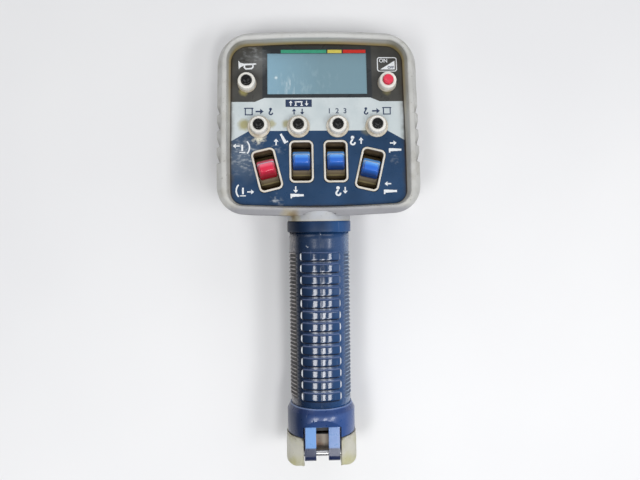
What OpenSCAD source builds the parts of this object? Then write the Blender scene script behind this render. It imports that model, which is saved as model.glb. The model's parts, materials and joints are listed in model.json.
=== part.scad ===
// One-hand radio remote control for a crane.
// Square control head on a round battery handle, lying on its back.
// Origin on the back, under the middle of the head. +Y runs to the head, +Z to the panel.

/* [Head] */
// Width across the bumper
head_w = 123.5; // [114:0.5:140]
// Height of the bumper, seen from the front
head_h = 116.7; // [112:0.1:130]
// Rounding of the upper corners
top_corner_r = 21; // [16:0.5:24]
// Rounding of the lower corners
low_corner_r = 17; // [14:0.5:20]
// Bow of the upper and lower edges
edge_bow = 2.6; // [1:0.1:4]
// Bow of the side edges
side_bow = 0.4; // [0.3:0.1:2]
// Slope of the panel against the back
panel_tilt = 10; // [4:0.5:13]
// Height of the middle of the panel above the back
panel_lift = 33.7; // [31:0.1:44]
// Thickness of the bumper around the case
bumper_wall = 3.5; // [2.5:0.25:4]
// Thickness of the bumper under the case
bumper_low_wall = 3.5; // [2.5:0.25:4]
// Breadth of the lip beside the panel
lip_side = 8.1; // [6:0.1:9]
// Breadth of the lip above the panel
lip_above = 7.8; // [6:0.1:9]
// Breadth of the lip below the panel
lip_below = 5.6; // [4.8:0.1:7]
// Height of the lip above the panel at the top
lip_rise_top = 9.5; // [5:0.25:12]
// Height of the lip above the panel at the bottom
lip_rise_low = 4.5; // [3:0.25:8]
// Slant of the inner side of the lip
lip_draft = 1.2; // [0.2:0.1:2]
// Slope of the shoulder outside the lip
shoulder_in = 3.5; // [1:0.25:4]
// Height above the panel at which the shoulder starts
shoulder_rise = 2; // [0.5:0.25:2.5]
// Distance from the bumper's rear edge to the back
bumper_back = 1.2; // [0.5:0.1:3]
// Depth of a finger notch in the bumper's sides
notch_depth = 2.1; // [1:0.1:2.5]
// Distance from one finger notch to the next
notch_pitch = 10; // [7:0.1:12]
// Number of finger notches on each side
notch_count = 4; // [1:1:4]
// Height of the uppermost notch above the middle of the panel
notch_top = 12.5; // [6:0.5:20]

/* [Case] */
// Wall of the front case and the rear cover
case_wall = 2.5; // [2:0.1:3]
// Thickness of the case skin behind the face plate
skin_t = 2.5; // [2:0.1:3]
// Thickness of the printed face plate
plate_t = 0.8; // [0.5:0.1:1.2]
// Depth of the parting line below the panel
parting_depth = 12; // [11:0.25:13]
// Thickness of the case gasket
gasket_t = 0.8; // [0.5:0.1:1.5]
// Thickness of the flat back
floor_t = 2.5; // [2:0.1:4]
// Diameter of a screw boss
boss_d = 8; // [7:0.25:9]
// Diameter of a case screw
screw_d = 3; // [2.5:0.25:3.5]
// Length of a case screw under its head
screw_len = 13; // [10:0.5:15]
// Distance of the screw head seat from the parting line
screw_seat = 7.5; // [5:0.5:9]
// Distance of the screws from the case's sides
screw_inset = 9; // [8.5:0.25:11]
// Distance of the upper screws from the case's top
screw_top_inset = 10; // [9.5:0.25:12]
// Distance of the lower screws from the case's bottom
screw_low_inset = 10; // [9:0.25:12]

/* [Display] */
// Width of the display window
display_w = 61.8; // [50:0.1:64]
// Height of the display window
display_h = 26.4; // [20:0.1:28]
// Distance of the window from the panel's top
display_drop = 6.8; // [5:0.1:9]
// Frame of the display module around its glass
display_frame = 3.6; // [2:0.1:4]
// Depth of the display module behind the skin
display_deep = 5.5; // [4:0.25:6.5]

/* [Buttons] */
// Diameter of a button cap
button_d = 6.6; // [5:0.1:7]
// Height of a button cap above the panel
button_rise = 7; // [6.5:0.1:9]
// Stroke of a button
button_travel = 1.5; // [1:0.1:1.8]
// Diameter of a rubber collar at its top
collar_d = 10.8; // [10:0.1:12]
// Height of a rubber collar above the panel
collar_rise = 5.6; // [4:0.1:6]
// Diameter of the collar foot in the lower row
row_foot_d = 14; // [12:0.1:16]
// Diameter of the collar foot of the two upper buttons
top_foot_d = 11.6; // [11:0.1:13]
// Distance from one button of the row to the next
row_pitch = 24.1; // [18:0.1:25]
// Height of the row above the panel's bottom
row_rise = 50.7; // [48:0.1:54]
// Distance of the upper buttons from the panel's sides
top_button_in = 10.2; // [8.5:0.1:11]
// Distance of the upper buttons from the panel's top
top_button_drop = 26.3; // [20:0.1:30]

/* [Levers] */
// Width of a lever window
window_w = 11.9; // [10:0.1:13]
// Height of a lever window
window_h = 23.6; // [21:0.1:26]
// Breadth of the rim around a lever window
bezel_rim = 1.5; // [1:0.1:2]
// Height of the rim above the panel
bezel_rise = 0.9; // [0.4:0.1:1.5]
// Depth of the lever pivots below the panel
pivot_depth = 13; // [12:0.25:14]
// Radius of a lever drum
drum_r = 11.4; // [10:0.1:12]
// Width of a lever paddle
paddle_w = 10.7; // [8:0.1:11]
// Length of a lever paddle
paddle_l = 11.3; // [9:0.1:13]
// Height of a lever paddle above the panel
paddle_rise = 4.6; // [3:0.1:7]
// Swing of a lever to each side
lever_swing = 18; // [10:1:20]
// Distance of the inner levers from the middle line
inner_lever_x = 10.5; // [10:0.1:11]
// Height of the inner levers above the panel's bottom
inner_lever_rise = 28.7; // [24:0.1:29.5]
// Distance of the outer levers from the middle line
outer_lever_x = 31.4; // [31:0.1:33]
// Height of the outer levers above the panel's bottom
outer_lever_rise = 23.6; // [20:0.1:25]
// Turn of the outer levers
outer_lever_turn = 13.5; // [8:0.5:14]
// Diameter of a lever pin
lever_pin_d = 3; // [2.5:0.1:3.5]
// Wall of a lever housing
housing_wall = 2; // [1.6:0.1:2.2]
// Depth of a lever housing below the panel
housing_depth = 25; // [24.5:0.25:27]

/* [Board] */
// Thickness of the control board
board_t = 1.6; // [1.2:0.1:2]
// Depth of the board's upper side below the panel
board_depth = 10.5; // [10:0.1:10.8]
// Diameter of a board post
post_d = 4.4; // [4:0.1:5]
// Diameter of a board screw
board_screw_d = 2; // [1.6:0.1:2.5]

/* [Handle] */
// Height of the handle's axis above the back
handle_z = 28; // [27:0.25:32]
// Diameter of the grip
grip_d = 37.2; // [36:0.1:39]
// Wall of the grip
grip_wall = 2.2; // [1.8:0.1:2.3]
// Length of grip between its two collars
grip_len = 106.8; // [104:0.2:120]
// Diameter of the neck
neck_d = 39.2; // [38:0.1:41]
// Length of the neck in front of the case
neck_len = 5.9; // [5:0.1:9]
// Diameter of the upper collar
collar_ring_d = 39.6; // [38:0.1:42]
// Length of the upper collar
collar_ring_len = 6.8; // [4:0.1:9]
// Number of raised pads along the grip
pad_count = 13; // [8:1:13]
// Distance from one pad to the next
pad_pitch = 7.35; // [6.5:0.05:8]
// Length of a pad along the grip
pad_len = 5; // [4:0.1:5.5]
// Height of the pads above the grip
pad_rise = 0.7; // [0.3:0.05:1]
// Angle that the pads cover on the front
pad_angle = 80; // [50:1:90]
// Distance of the first pad from the upper collar
pad_start = 12.4; // [8:0.1:14]
// Distance from one side rib to the next
rib_pitch = 2.9; // [2.5:0.05:4]
// Height of the side ribs
rib_rise = 0.5; // [0.2:0.05:0.8]

/* [Trigger] */
// Width of the trigger
trigger_w = 12; // [9:0.25:12.5]
// Distance of the trigger pivot from the upper collar
trigger_drop = 13.2; // [12.5:0.1:16]
// Depth of the trigger pivot behind the handle's axis
trigger_back = 14.5; // [14:0.1:15]
// Length of the trigger from pivot to tip
trigger_len = 31; // [26:0.5:34]
// Stand-out of the trigger tip behind its pivot
trigger_out = 7.7; // [6:0.1:8]
// Diameter of the trigger pin
trigger_pin_d = 3; // [2.5:0.1:3.5]

/* [Battery] */
// Diameter of a cell
cell_d = 14.5; // [14:0.1:14.6]
// Length of a cell
cell_len = 50.5; // [44:0.1:50.5]
// Height of the cells in front of the handle's axis
cell_lift = 2; // [1.5:0.1:2.5]
// Wall of the battery holder
holder_wall = 1.1; // [0.8:0.1:1.2]

/* [End cap] */
// Diameter of the lower collar
end_d = 42.4; // [41:0.1:44]
// Length of the lower collar
end_len = 18; // [16:0.1:22]
// Length of the slope at the top of the lower collar
end_slope = 4.2; // [2:0.1:6]
// Diameter of the battery cap
cap_d = 43.2; // [42:0.1:45]
// Length of the battery cap
cap_len = 18.2; // [17:0.1:22]
// Wall of the battery cap
cap_wall = 3; // [2.5:0.1:3.5]
// Rounding of the battery cap's end
cap_round = 4; // [2:0.25:5]
// Stand-out of the two feet at the cap's end
foot_len = 4.3; // [3:0.1:5]
// Breadth of the notch for the hinge
hinge_w = 23.2; // [22:0.1:24]
// Distance between the two hinge prongs
prong_gap = 7.7; // [6:0.1:9]
// Thickness of a hinge prong
prong_w = 6.9; // [6:0.1:7]
// Stand-out of the prong tips past the hinge pin
prong_tip = 0.8; // [0.2:0.1:0.9]
// Length of the slope that leads from the lower collar to the prongs
prong_slope = 5.3; // [3:0.1:6]
// Distance of the hinge pin below the lower collar
hinge_drop = 10.5; // [9.5:0.1:11]
// Height of the hinge pin in front of the handle's axis
hinge_lift = 13.5; // [13:0.1:14]
// Diameter of the hinge pin
hinge_pin_d = 4; // [3:0.1:4.5]

/* [Fits] */
// Clearance of pieces that only sit together
seat_gap = 0.15; // [0.05:0.05:0.25]
// Clearance of pieces that move past each other
free_gap = 0.3; // [0.3:0.05:0.4]
// Radial clearance of a pin in a hub that turns on it
turn_gap = 0.06; // [0.03:0.01:0.1]
// Radial clearance of a pin or screw that is held fast
hold_gap = 0.03; // [0.02:0.01:0.05]

/* [Hidden] */
$fn = 64;
reach = 300;
longest_chord = 12;
lever_names = ["swing", "boom", "hook", "telescope"];
button_names = ["horn", "power", "hook_out", "jack", "mode", "hook_stow"];
case_nodes = ["bumper", "front_case", "rear_cover", "case_gasket", "case_screws"];
panel_nodes = ["face_plate", "display_window", "display_module"];
board_nodes = ["control_board", "board_screws", "button_switches"];
radio_nodes = ["radio_module", "antenna", "buzzer", "wiring"];
lever_group_nodes = ["lever_housings", "lever_pins", "lever_switches"];
handle_nodes = ["neck_sleeve", "neck_nut", "handle_collar", "handle_grip", "end_collar"];
trigger_nodes = ["speed_trigger", "trigger_pin", "trigger_spring", "trigger_sensor"];
battery_nodes = ["battery_holder", "battery_cells", "battery_contacts"];
cap_nodes = ["hinge_pin", "battery_cap", "cap_liner", "cap_seal", "cap_contact"];

// Panel edges and the planes that end the head at its lower side
panel_half = head_w / 2 - lip_side;
panel_top = (head_h / 2 - lip_above) / cos(panel_tilt);
panel_low = (-head_h / 2 + lip_below) / cos(panel_tilt);
case_low_y = -head_h / 2 + bumper_low_wall;
case_bow = 1.2;
case_half = head_w / 2 - bumper_wall;
case_top = head_h / 2 - bumper_wall;
skin_under = plate_t + skin_t;
head_deep = panel_lift * 2;
function panel_z(y, depth) = panel_lift - y * tan(panel_tilt) - depth / cos(panel_tilt);

// Places of the controls on the panel
glass_edge = 0.5;
glass_w = display_w - 2 * glass_edge;
glass_h = display_h - 2 * glass_edge;
display_v = panel_top - display_drop - display_h / 2;
top_button_x = panel_half - top_button_in;
top_button_v = panel_top - top_button_drop;
row_v = panel_low + row_rise;
bore_r = button_d / 2 + seat_gap;
collar_neck_wall = 1;
collar_neck_r = bore_r + collar_neck_wall;
flange_r = collar_neck_r - free_gap;
flange_t = 1.2;
flange_top = skin_under + free_gap;
buttons = [
    ["horn", [-top_button_x, top_button_v], top_foot_d, "black"],
    ["power", [top_button_x, top_button_v], top_foot_d, "crimson"],
    ["hook_out", [-1.5 * row_pitch, row_v], row_foot_d, "black"],
    ["jack", [-0.5 * row_pitch, row_v], row_foot_d, "black"],
    ["mode", [0.5 * row_pitch, row_v], row_foot_d, "black"],
    ["hook_stow", [1.5 * row_pitch, row_v], row_foot_d, "black"]
];
inner_lever_v = panel_low + inner_lever_rise;
outer_lever_v = panel_low + outer_lever_rise;
levers = [
    ["swing", [-outer_lever_x, outer_lever_v], outer_lever_turn, "crimson"],
    ["boom", [-inner_lever_x, inner_lever_v], 0, "royalblue"],
    ["hook", [inner_lever_x, inner_lever_v], 0, "royalblue"],
    ["telescope", [outer_lever_x, outer_lever_v], -outer_lever_turn, "royalblue"]
];
bezel_w = window_w + 2 * bezel_rim;
bezel_h = window_h + 2 * bezel_rim;
bezel_corner = 3;
housing_in_w = window_w + 2 * free_gap;
housing_in_h = window_h + 4 * free_gap;
housing_w = housing_in_w + 2 * housing_wall;
housing_h = housing_in_h + 2 * housing_wall;
housing_floor = 1.2;
drum_side = 0.25;
drum_w = paddle_w + 2 * drum_side;
drum_shell = 2;
drum_half_angle = 66;
hub_wall = 1.8;
hub_r = lever_pin_d / 2 + hub_wall;
stem_w = 5;
stem_l = 4;
stem_lift = 3;
stem_low = -pivot_depth + hub_r + stem_lift;
cam_len = 6;
cam_t = 2.4;
cam_sweep = cam_len * sin(lever_swing) + cam_t / 2;

// Board, its posts and the case screws
board_side_gap = 4.5;
board_top_gap = 1.5;
board_low_gap = 1;
board_half = case_half - case_wall - board_side_gap;
board_top = case_top - case_wall - board_top_gap;
board_low = inner_lever_v + housing_h / 2 + board_low_gap;
board_under = board_depth + board_t;
post_edge = 3;
post_in = 9;
post_top_spot = [board_half - post_in, board_top - post_edge];
post_row_spot = [board_half - post_edge, row_v + post_in];
post_spots = [
    for (side = [-1, 1], spot = [post_top_spot, post_row_spot])
        [side * spot.x, spot.y]
];
board_screw_bite = 4;
module_drop = 10;
module_v = display_v - module_drop;
antenna_r = 1;
antenna_inset = 5;
antenna_stand = 4;
antenna_left_x = -0.7 * board_half;
antenna_right_x = 0.4 * board_half;
screw_x = case_half - screw_inset;
screw_top_y = case_top - screw_top_inset;
screw_low_y = case_low_y + screw_low_inset;
screw_spots = [
    for (x = [-screw_x, screw_x], y = [screw_low_y, screw_top_y])
        [x, y, panel_z(y, parting_depth) - screw_seat]
];
screw_head_d = screw_d * 2;
screw_head_t = screw_d * 0.8;

// Stations along the handle, from the head to its end
neck_low_y = case_low_y - neck_len;
grip_top_y = neck_low_y - collar_ring_len;
end_top_y = grip_top_y - grip_len;
end_low_y = end_top_y - end_len;
cap_top_y = end_low_y - free_gap;
cap_low_y = cap_top_y - cap_len;
grip_r = grip_d / 2;
tube_r = grip_r - grip_wall;
neck_r = neck_d / 2;
socket_len = end_len / 2;
spigot_r = 8.5;
spigot_bore_r = 6;
plug_len = 14;
nut_t = 3.6;
nut_wall = 1.7;
nut_r = spigot_r + nut_wall;
case_hole_r = spigot_r + seat_gap;
neck_hole_r = neck_r + seat_gap;
collar_edge = 0.5;

// Trigger
trigger_y = grip_top_y - trigger_drop;
trigger_z = handle_z - trigger_back;
trigger_hub_wall = 2;
trigger_hub_r = trigger_pin_d / 2 + trigger_hub_wall;
trigger_tip_r = 2.4;
trigger_knee_r = 2.2;
knee_along = 0.45;
knee_out = 0.53;
trigger_knee = [trigger_y - knee_along * trigger_len, trigger_z - knee_out * trigger_out];
trigger_tip = [trigger_y - trigger_len, trigger_z - trigger_out];
slot_half = trigger_w / 2 + 2 * free_gap;
slot_top_y = trigger_y + trigger_hub_r + 2 * free_gap;
slot_spare = 2;
slot_low_y = trigger_tip.x - trigger_tip_r - slot_spare;
spring_r = 3.4;
spring_wire_r = 0.45;
spring_turns = 5;
spring_along = 0.58;
spring_y = trigger_y - spring_along * trigger_len;
sensor_len = 6;
sensor_low_y = spring_y + spring_r + spring_wire_r + 2 * free_gap;
sensor_top_y = sensor_low_y + sensor_len;

// Battery
cell_x = cell_d / 2;
cell_z = handle_z + cell_lift;
cell_inset = 2.5;
cell_low_y = end_low_y + cell_inset;
cell_top_y = cell_low_y + 2 * cell_len;
contact_t = 0.8;
holder_r = tube_r - seat_gap;
holder_bore_r = cell_d / 2 + seat_gap;
holder_half = holder_bore_r + holder_wall;
holder_lip = 0.5;
holder_roof = 2;
holder_low_y = cell_low_y - holder_lip;
holder_top_y = max(cell_top_y + contact_t, sensor_top_y) + holder_roof;
holder_back_z = cell_z - holder_half;

// Hinge of the battery cap
hinge_y = end_low_y - hinge_drop;
hinge_z = handle_z + hinge_lift;
hinge_pin_r = hinge_pin_d / 2;
prong_wall = 2;
prong_r = hinge_pin_r + prong_wall;
prong_mid = (prong_gap + prong_w) / 2;
hinge_half = hinge_w / 2;
ear_spare = 0.2;
ear_r = hinge_drop - free_gap - ear_spare;
prong_clear = 1.2;
ear_floor = hinge_z - prong_r - prong_clear;
pin_inset = 1;
pin_cover = 0.8;
pin_top = hinge_lift + hinge_pin_r + pin_cover;
pin_half = sqrt(cap_d * cap_d / 4 - pin_top * pin_top);
notch_h = 6.4;
notch_y = end_low_y + notch_h;
cap_flat = 1.3;
liner_r = cap_d / 2 - cap_wall - seat_gap;
liner_t = 2;
seal_t = 0.7;
cap_end_y = cap_low_y + foot_len;
cap_floor_y = cap_end_y + cap_wall;
liner_front = ear_floor - seat_gap;

function unit(v) = v / norm(v);

// Points of an arc that rounds corner b, between a and c
function corner_arc(a, b, c, r, step) =
    let (
        p = unit(a - b),
        q = unit(c - b),
        half = acos(p * q) / 2,
        centre = b + unit(p + q) * r / sin(half),
        first = b + p * r / tan(half) - centre,
        start = atan2(first.y, first.x),
        sweep = 180 - 2 * half,
        n = max(ceil(sweep / step), ceil(r * sweep * PI / 180 / longest_chord))
    )
    [for (i = [0 : n]) centre + r * [cos(start + sweep * i / n), sin(start + sweep * i / n)]];

// Outline of rounded corners, from [x, y, radius] corners in counterclockwise order
function rounded(corners, step = 15) =
    let (n = len(corners))
    [
        for (i = [0 : n - 1])
            let (a = corners[(i + n - 1) % n], b = corners[i], c = corners[(i + 1) % n])
            each corner_arc([a.x, a.y], [b.x, b.y], [c.x, c.y], b.z, step)
    ];

// Outline of the head, drawn in from its sides, top and bottom
function head_outline(side, above, below) =
    let (
        x = head_w / 2 - side,
        top = head_h / 2 - above,
        low = -head_h / 2 + below,
        corner_loss = 0.65,
        top_r = max(top_corner_r - corner_loss * (side + above), 2),
        low_r = max(low_corner_r - corner_loss * (side + below), 2),
        waist = low * 0.35,
        edge_r = 650,
        waist_r = 400
    )
    rounded([
        [0, low, edge_r],
        [x - side_bow, low + edge_bow, low_r],
        [x, waist, waist_r],
        [x - side_bow, top - edge_bow, top_r],
        [0, top, edge_r],
        [-x + side_bow, top - edge_bow, top_r],
        [-x, waist, waist_r],
        [-x + side_bow, low + edge_bow, low_r]
    ], 9);

module rounded_rect(w, h, r) {
    polygon(rounded([[-w / 2, -h / 2, r], [w / 2, -h / 2, r], [w / 2, h / 2, r], [-w / 2, h / 2, r]]));
}

// Frame of the panel: its surface is the plane z = 0
module head_frame() {
    translate([0, 0, panel_lift]) rotate([-panel_tilt, 0, 0]) children();
}

module panel_spot(spot, turn = 0) {
    head_frame() translate([spot.x, spot.y, 0]) rotate([0, 0, turn]) children();
}

// Layer between two depths below the panel
module panel_layer(deep, shallow) {
    head_frame() translate([-reach, -reach, -deep]) cube([2 * reach, 2 * reach, deep - shallow]);
}

// Upright block of the head's outline between two depths below the panel
module head_block(side, above, below, deep, shallow) {
    intersection() {
        linear_extrude(2 * reach, center = true) polygon(head_outline(side, above, below));
        panel_layer(deep, shallow);
    }
}

// Half space above a height and beyond a station
module space_from(y, z) {
    translate([-reach, y, z]) cube(2 * reach);
}

// Round bar along the handle's axis
module handle_bar(r, low, top) {
    translate([0, top, handle_z]) rotate([90, 0, 0]) cylinder(r = r, h = top - low);
}

// Turned piece about the handle's axis, from [radius, station] points
module handle_turned(points) {
    translate([0, 0, handle_z]) rotate([-90, 0, 0]) rotate_extrude($fn = 96) polygon(points);
}

// Round bar along X
module cross_bar(r, half, y, z) {
    translate([-half, y, z]) rotate([0, 90, 0]) cylinder(r = r, h = 2 * half);
}

// Box between two corners
module span(low, high) {
    translate(low) cube(high - low);
}

// Block of the case, drawn in by a wall, below the panel and above the back
module case_block(inward, low_inward, back, deep, shallow) {
    side = bumper_wall + inward;
    below = bumper_low_wall - case_bow + inward;
    intersection() {
        head_block(side, side, below, deep, shallow);
        space_from(case_low_y + low_inward, back);
    }
}

// Upright bars at the case screws
module screw_posts(r) {
    for (spot = screw_spots)
        translate([spot.x, spot.y, -reach]) cylinder(r = r, h = 2 * reach);
}

// Upright bars at the case screws, between two heights above their seats
module screw_bars(r, low, high) {
    for (spot = screw_spots)
        translate([spot.x, spot.y, spot.z + low]) cylinder(r = r, h = high - low);
}

// Thin layer at the top of the bumper's lip, at its own slope
module lip_slab(inward, rise) {
    slope = atan((lip_rise_top - lip_rise_low) / head_h);
    intersection() {
        linear_extrude(2 * reach, center = true) polygon(head_outline(inward.x, inward.y, inward.z));
        head_frame()
            translate([0, 0, (lip_rise_top + lip_rise_low) / 2 + rise])
                rotate([slope, 0, 0])
                    translate([-reach, -reach, 0])
                        cube([2 * reach, 2 * reach, 0.01]);
    }
}

module finger_notches() {
    notch_len = 0.75 * notch_pitch;
    outside = 1;
    for (side = [-1, 1], i = [0 : notch_count - 1])
        translate([side * (head_w / 2 + outside), notch_top - i * notch_pitch, -reach])
            linear_extrude(2 * reach)
                polygon([[0, 0], [-side * (notch_depth + outside), -notch_len], [0, -notch_len]]);
}

module bumper() {
    color("lightgray")
    difference() {
        intersection() {
            hull() {
                head_block(0, 0, 0, head_deep, -shoulder_rise);
                lip_slab([shoulder_in, shoulder_in, shoulder_in], 0);
            }
            space_from(-reach, bumper_back);
        }
        case_block(-seat_gap, -seat_gap, -reach, head_deep, plate_t);
        hull() {
            head_block(lip_side, lip_above, lip_below, plate_t + 0.1, plate_t);
            head_block(lip_side, lip_above, lip_below, 0.01, 0);
            lip_slab([lip_side - lip_draft, lip_above - lip_draft / 2, lip_below - lip_draft / 2], 0.1);
        }
        handle_bar(neck_hole_r, case_low_y - reach, case_low_y);
        span([-neck_hole_r, case_low_y - reach, handle_z], [neck_hole_r, case_low_y, handle_z + reach]);
        finger_notches();
    }
}

module front_case() {
    color("dimgray")
    difference() {
        union() {
            difference() {
                case_block(0, 0, 0, parting_depth, plate_t);
                case_block(case_wall, case_wall, 0, parting_depth + 1, skin_under);
            }
            intersection() {
                screw_posts(boss_d / 2);
                panel_layer(parting_depth, plate_t + skin_t / 2);
            }
            for (spot = post_spots)
                panel_spot(spot)
                    translate([0, 0, -board_depth])
                        cylinder(d = post_d, h = board_depth - plate_t - skin_t / 2);
        }
        screw_bars(screw_d / 2 + hold_gap, 0, screw_len + free_gap);
        for (spot = post_spots)
            panel_spot(spot)
                translate([0, 0, -board_depth - 1])
                    cylinder(r = board_screw_d / 2 + hold_gap, h = board_screw_bite + 1 + free_gap);
        panel_spot([0, display_v])
            translate([0, 0, -skin_under - 1])
                linear_extrude(skin_under + 1)
                    square([glass_w + 2 * seat_gap, glass_h + 2 * seat_gap], center = true);
        for (b = buttons)
            panel_spot(b[1])
                translate([0, 0, -skin_under - 1])
                    cylinder(r = collar_neck_r + seat_gap, h = skin_under + 1);
        for (l = levers)
            panel_spot(l[1], l[2])
                translate([0, 0, -skin_under - 1])
                    linear_extrude(skin_under + 1)
                        rounded_rect(bezel_w + 2 * seat_gap, bezel_h + 2 * seat_gap, bezel_corner);
        handle_bar(case_hole_r, case_low_y - 1, case_low_y + case_wall + 1);
    }
}

module rear_cover() {
    rim = parting_depth + gasket_t;
    color("darkgray")
    difference() {
        union() {
            difference() {
                case_block(0, 0, 0, head_deep, rim);
                case_block(case_wall, case_wall, floor_t, head_deep, rim - 1);
            }
            intersection() {
                screw_posts(boss_d / 2);
                case_block(case_wall / 2, case_wall / 2, floor_t / 2, head_deep, rim);
            }
        }
        screw_bars(screw_d / 2 + seat_gap, -1, screw_len);
        screw_bars(screw_head_d / 2 + seat_gap, -head_deep, 0);
        handle_bar(case_hole_r, case_low_y - 1, case_low_y + case_wall + 1);
    }
}

module case_gasket() {
    edge = 0.4;
    color("black")
    difference() {
        case_block(edge, edge, 0, parting_depth + gasket_t, parting_depth);
        case_block(case_wall - edge, case_wall - edge, 0, parting_depth + gasket_t + 1, parting_depth - 1);
        handle_bar(case_hole_r + edge, case_low_y - 1, case_low_y + case_wall + 1);
    }
}

module case_screws() {
    color("silver") {
        screw_bars(screw_d / 2, 0, screw_len);
        screw_bars(screw_head_d / 2, -screw_head_t, 0);
    }
}

module face_plate() {
    color("slategray")
    difference() {
        head_block(lip_side + seat_gap, lip_above + seat_gap, lip_below + seat_gap, plate_t, 0);
        panel_spot([0, display_v])
            linear_extrude(reach, center = true)
                square([display_w + 2 * seat_gap, display_h + 2 * seat_gap], center = true);
        for (b = buttons)
            panel_spot(b[1]) cylinder(r = collar_neck_r + seat_gap, h = reach, center = true);
        for (l = levers)
            panel_spot(l[1], l[2])
                linear_extrude(reach, center = true)
                    rounded_rect(bezel_w + 2 * seat_gap, bezel_h + 2 * seat_gap, bezel_corner);
    }
}

module display_window() {
    color("lightsteelblue")
    panel_spot([0, display_v])
        translate([0, 0, -plate_t])
            linear_extrude(plate_t)
                square([display_w, display_h], center = true);
}

module display_module() {
    color("steelblue")
    panel_spot([0, display_v]) {
        translate([0, 0, -skin_under - display_deep])
            linear_extrude(display_deep)
                square([glass_w + 2 * display_frame, glass_h + 2 * display_frame], center = true);
        translate([0, 0, -skin_under - display_deep])
            linear_extrude(display_deep + skin_t - seat_gap)
                square([glass_w, glass_h], center = true);
    }
}

module control_board() {
    color("darkgreen")
    difference() {
        head_frame()
            translate([-board_half, board_low, -board_under])
                cube([2 * board_half, board_top - board_low, board_t]);
        screw_posts(boss_d / 2 + 2 * free_gap);
        for (spot = post_spots)
            panel_spot(spot)
                translate([0, 0, -board_under - 1])
                    cylinder(r = board_screw_d / 2 + seat_gap, h = board_t + 2);
    }
}

module board_screws() {
    head_t = 0.65 * board_screw_d;
    color("silver")
    for (spot = post_spots)
        panel_spot(spot) {
            translate([0, 0, -board_under]) cylinder(d = board_screw_d, h = board_t + board_screw_bite);
            translate([0, 0, -board_under - head_t]) cylinder(d = board_screw_d * 2, h = head_t);
        }
}

module button_switches() {
    switch_half = 3.1;
    plunger_d = 3.4;
    plunger_out = 0.6;
    plunger_top = flange_top + flange_t + button_travel + free_gap;
    color("dimgray")
    for (b = buttons)
        panel_spot(b[1]) {
            span(
                [-switch_half, -switch_half, -board_depth],
                [switch_half, switch_half, -plunger_top - plunger_out]
            );
            translate([0, 0, -board_depth]) cylinder(d = plunger_d, h = board_depth - plunger_top);
        }
}

module radio_module() {
    w = 34;
    l = 24;
    t = 5;
    color("silver")
    panel_spot([board_half / 3, module_v])
        span([-w / 2, -l / 2, -board_under - t], [w / 2, l / 2, -board_under]);
}

module antenna() {
    span_x = antenna_right_x - antenna_left_x;
    color("goldenrod")
    panel_spot([antenna_left_x, board_top - antenna_inset])
        translate([0, 0, -board_under - antenna_stand]) {
            rotate([0, 90, 0]) cylinder(r = antenna_r, h = span_x);
            for (x = [0, span_x])
                translate([x, 0, 0]) {
                    sphere(r = antenna_r);
                    cylinder(r = antenna_r, h = antenna_stand);
                }
        }
}

module buzzer() {
    r = 8;
    h = 6;
    color("black")
    panel_spot([-board_half / 2, module_v]) translate([0, 0, -board_under - h]) cylinder(r = r, h = h);
}

// Supply lead from the battery up the neck to the board's edge
module wiring() {
    lead_r = 1.2;
    middle = board_depth + board_t / 2;
    edge_y = board_low * cos(panel_tilt) - middle * sin(panel_tilt);
    edge_z = panel_lift - board_low * sin(panel_tilt) - middle * cos(panel_tilt);
    slack = lead_r * tan(panel_tilt) + seat_gap;
    color("firebrick")
    translate([0, holder_top_y, edge_z])
        rotate([-90, 0, 0])
            cylinder(r = lead_r, h = edge_y - slack - holder_top_y);
}

module button_collar(b) {
    neck_low = -skin_under;
    r = collar_d / 2;
    foot = b[2] / 2;
    foot_t = 0.7;
    edge = 0.4;
    foot_top = foot_t + edge;
    brim = max(r, foot - 3 * edge);
    bevel = 0.7;
    color("ivory")
    panel_spot(b[1])
        rotate_extrude()
            polygon([
                [bore_r, neck_low], [collar_neck_r, neck_low], [collar_neck_r, 0], [foot, 0], [foot, foot_t],
                [foot - edge, foot_top], [brim, foot_top + edge / 2], [r, foot_top + 2 * edge],
                [r, collar_rise - bevel], [r - bevel, collar_rise], [bore_r + bevel, collar_rise],
                [bore_r, collar_rise - bevel]
            ]);
}

module button(b) {
    r = button_d / 2;
    edge = 0.3;
    crown = 0.1;
    flange_low = flange_top + flange_t;
    color(b[3])
    panel_spot(b[1])
        rotate_extrude()
            polygon([
                [0, -flange_low], [flange_r, -flange_low], [flange_r, -flange_top],
                [r, -flange_top], [r, button_rise - 2 * edge], [r - edge, button_rise - edge + crown / 2],
                [r - 3 * edge, button_rise], [0, button_rise + crown]
            ]);
}

// Slab of a paddle at one height, for its tapered sides
module paddle_slab(share_w, share_l, top) {
    slab_t = 0.1;
    corner_r = 0.8;
    translate([0, 0, top - slab_t])
        linear_extrude(slab_t)
            rounded_rect(paddle_w * share_w, paddle_l * share_l, corner_r);
}

module lever(l) {
    top_w = 0.62;
    top_l = 0.46;
    side_rise = 0.7;
    color(l[3])
    panel_spot(l[1], l[2]) {
        difference() {
            hull() {
                paddle_slab(1, 1, -drum_r / 2);
                paddle_slab(1, 1, side_rise);
                paddle_slab(top_w, top_l, paddle_rise);
            }
            cross_bar(drum_r, paddle_w, 0, -pivot_depth);
        }
        span([-stem_w / 2, -stem_l / 2, stem_low], [stem_w / 2, stem_l / 2, 0]);
    }
}

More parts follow.
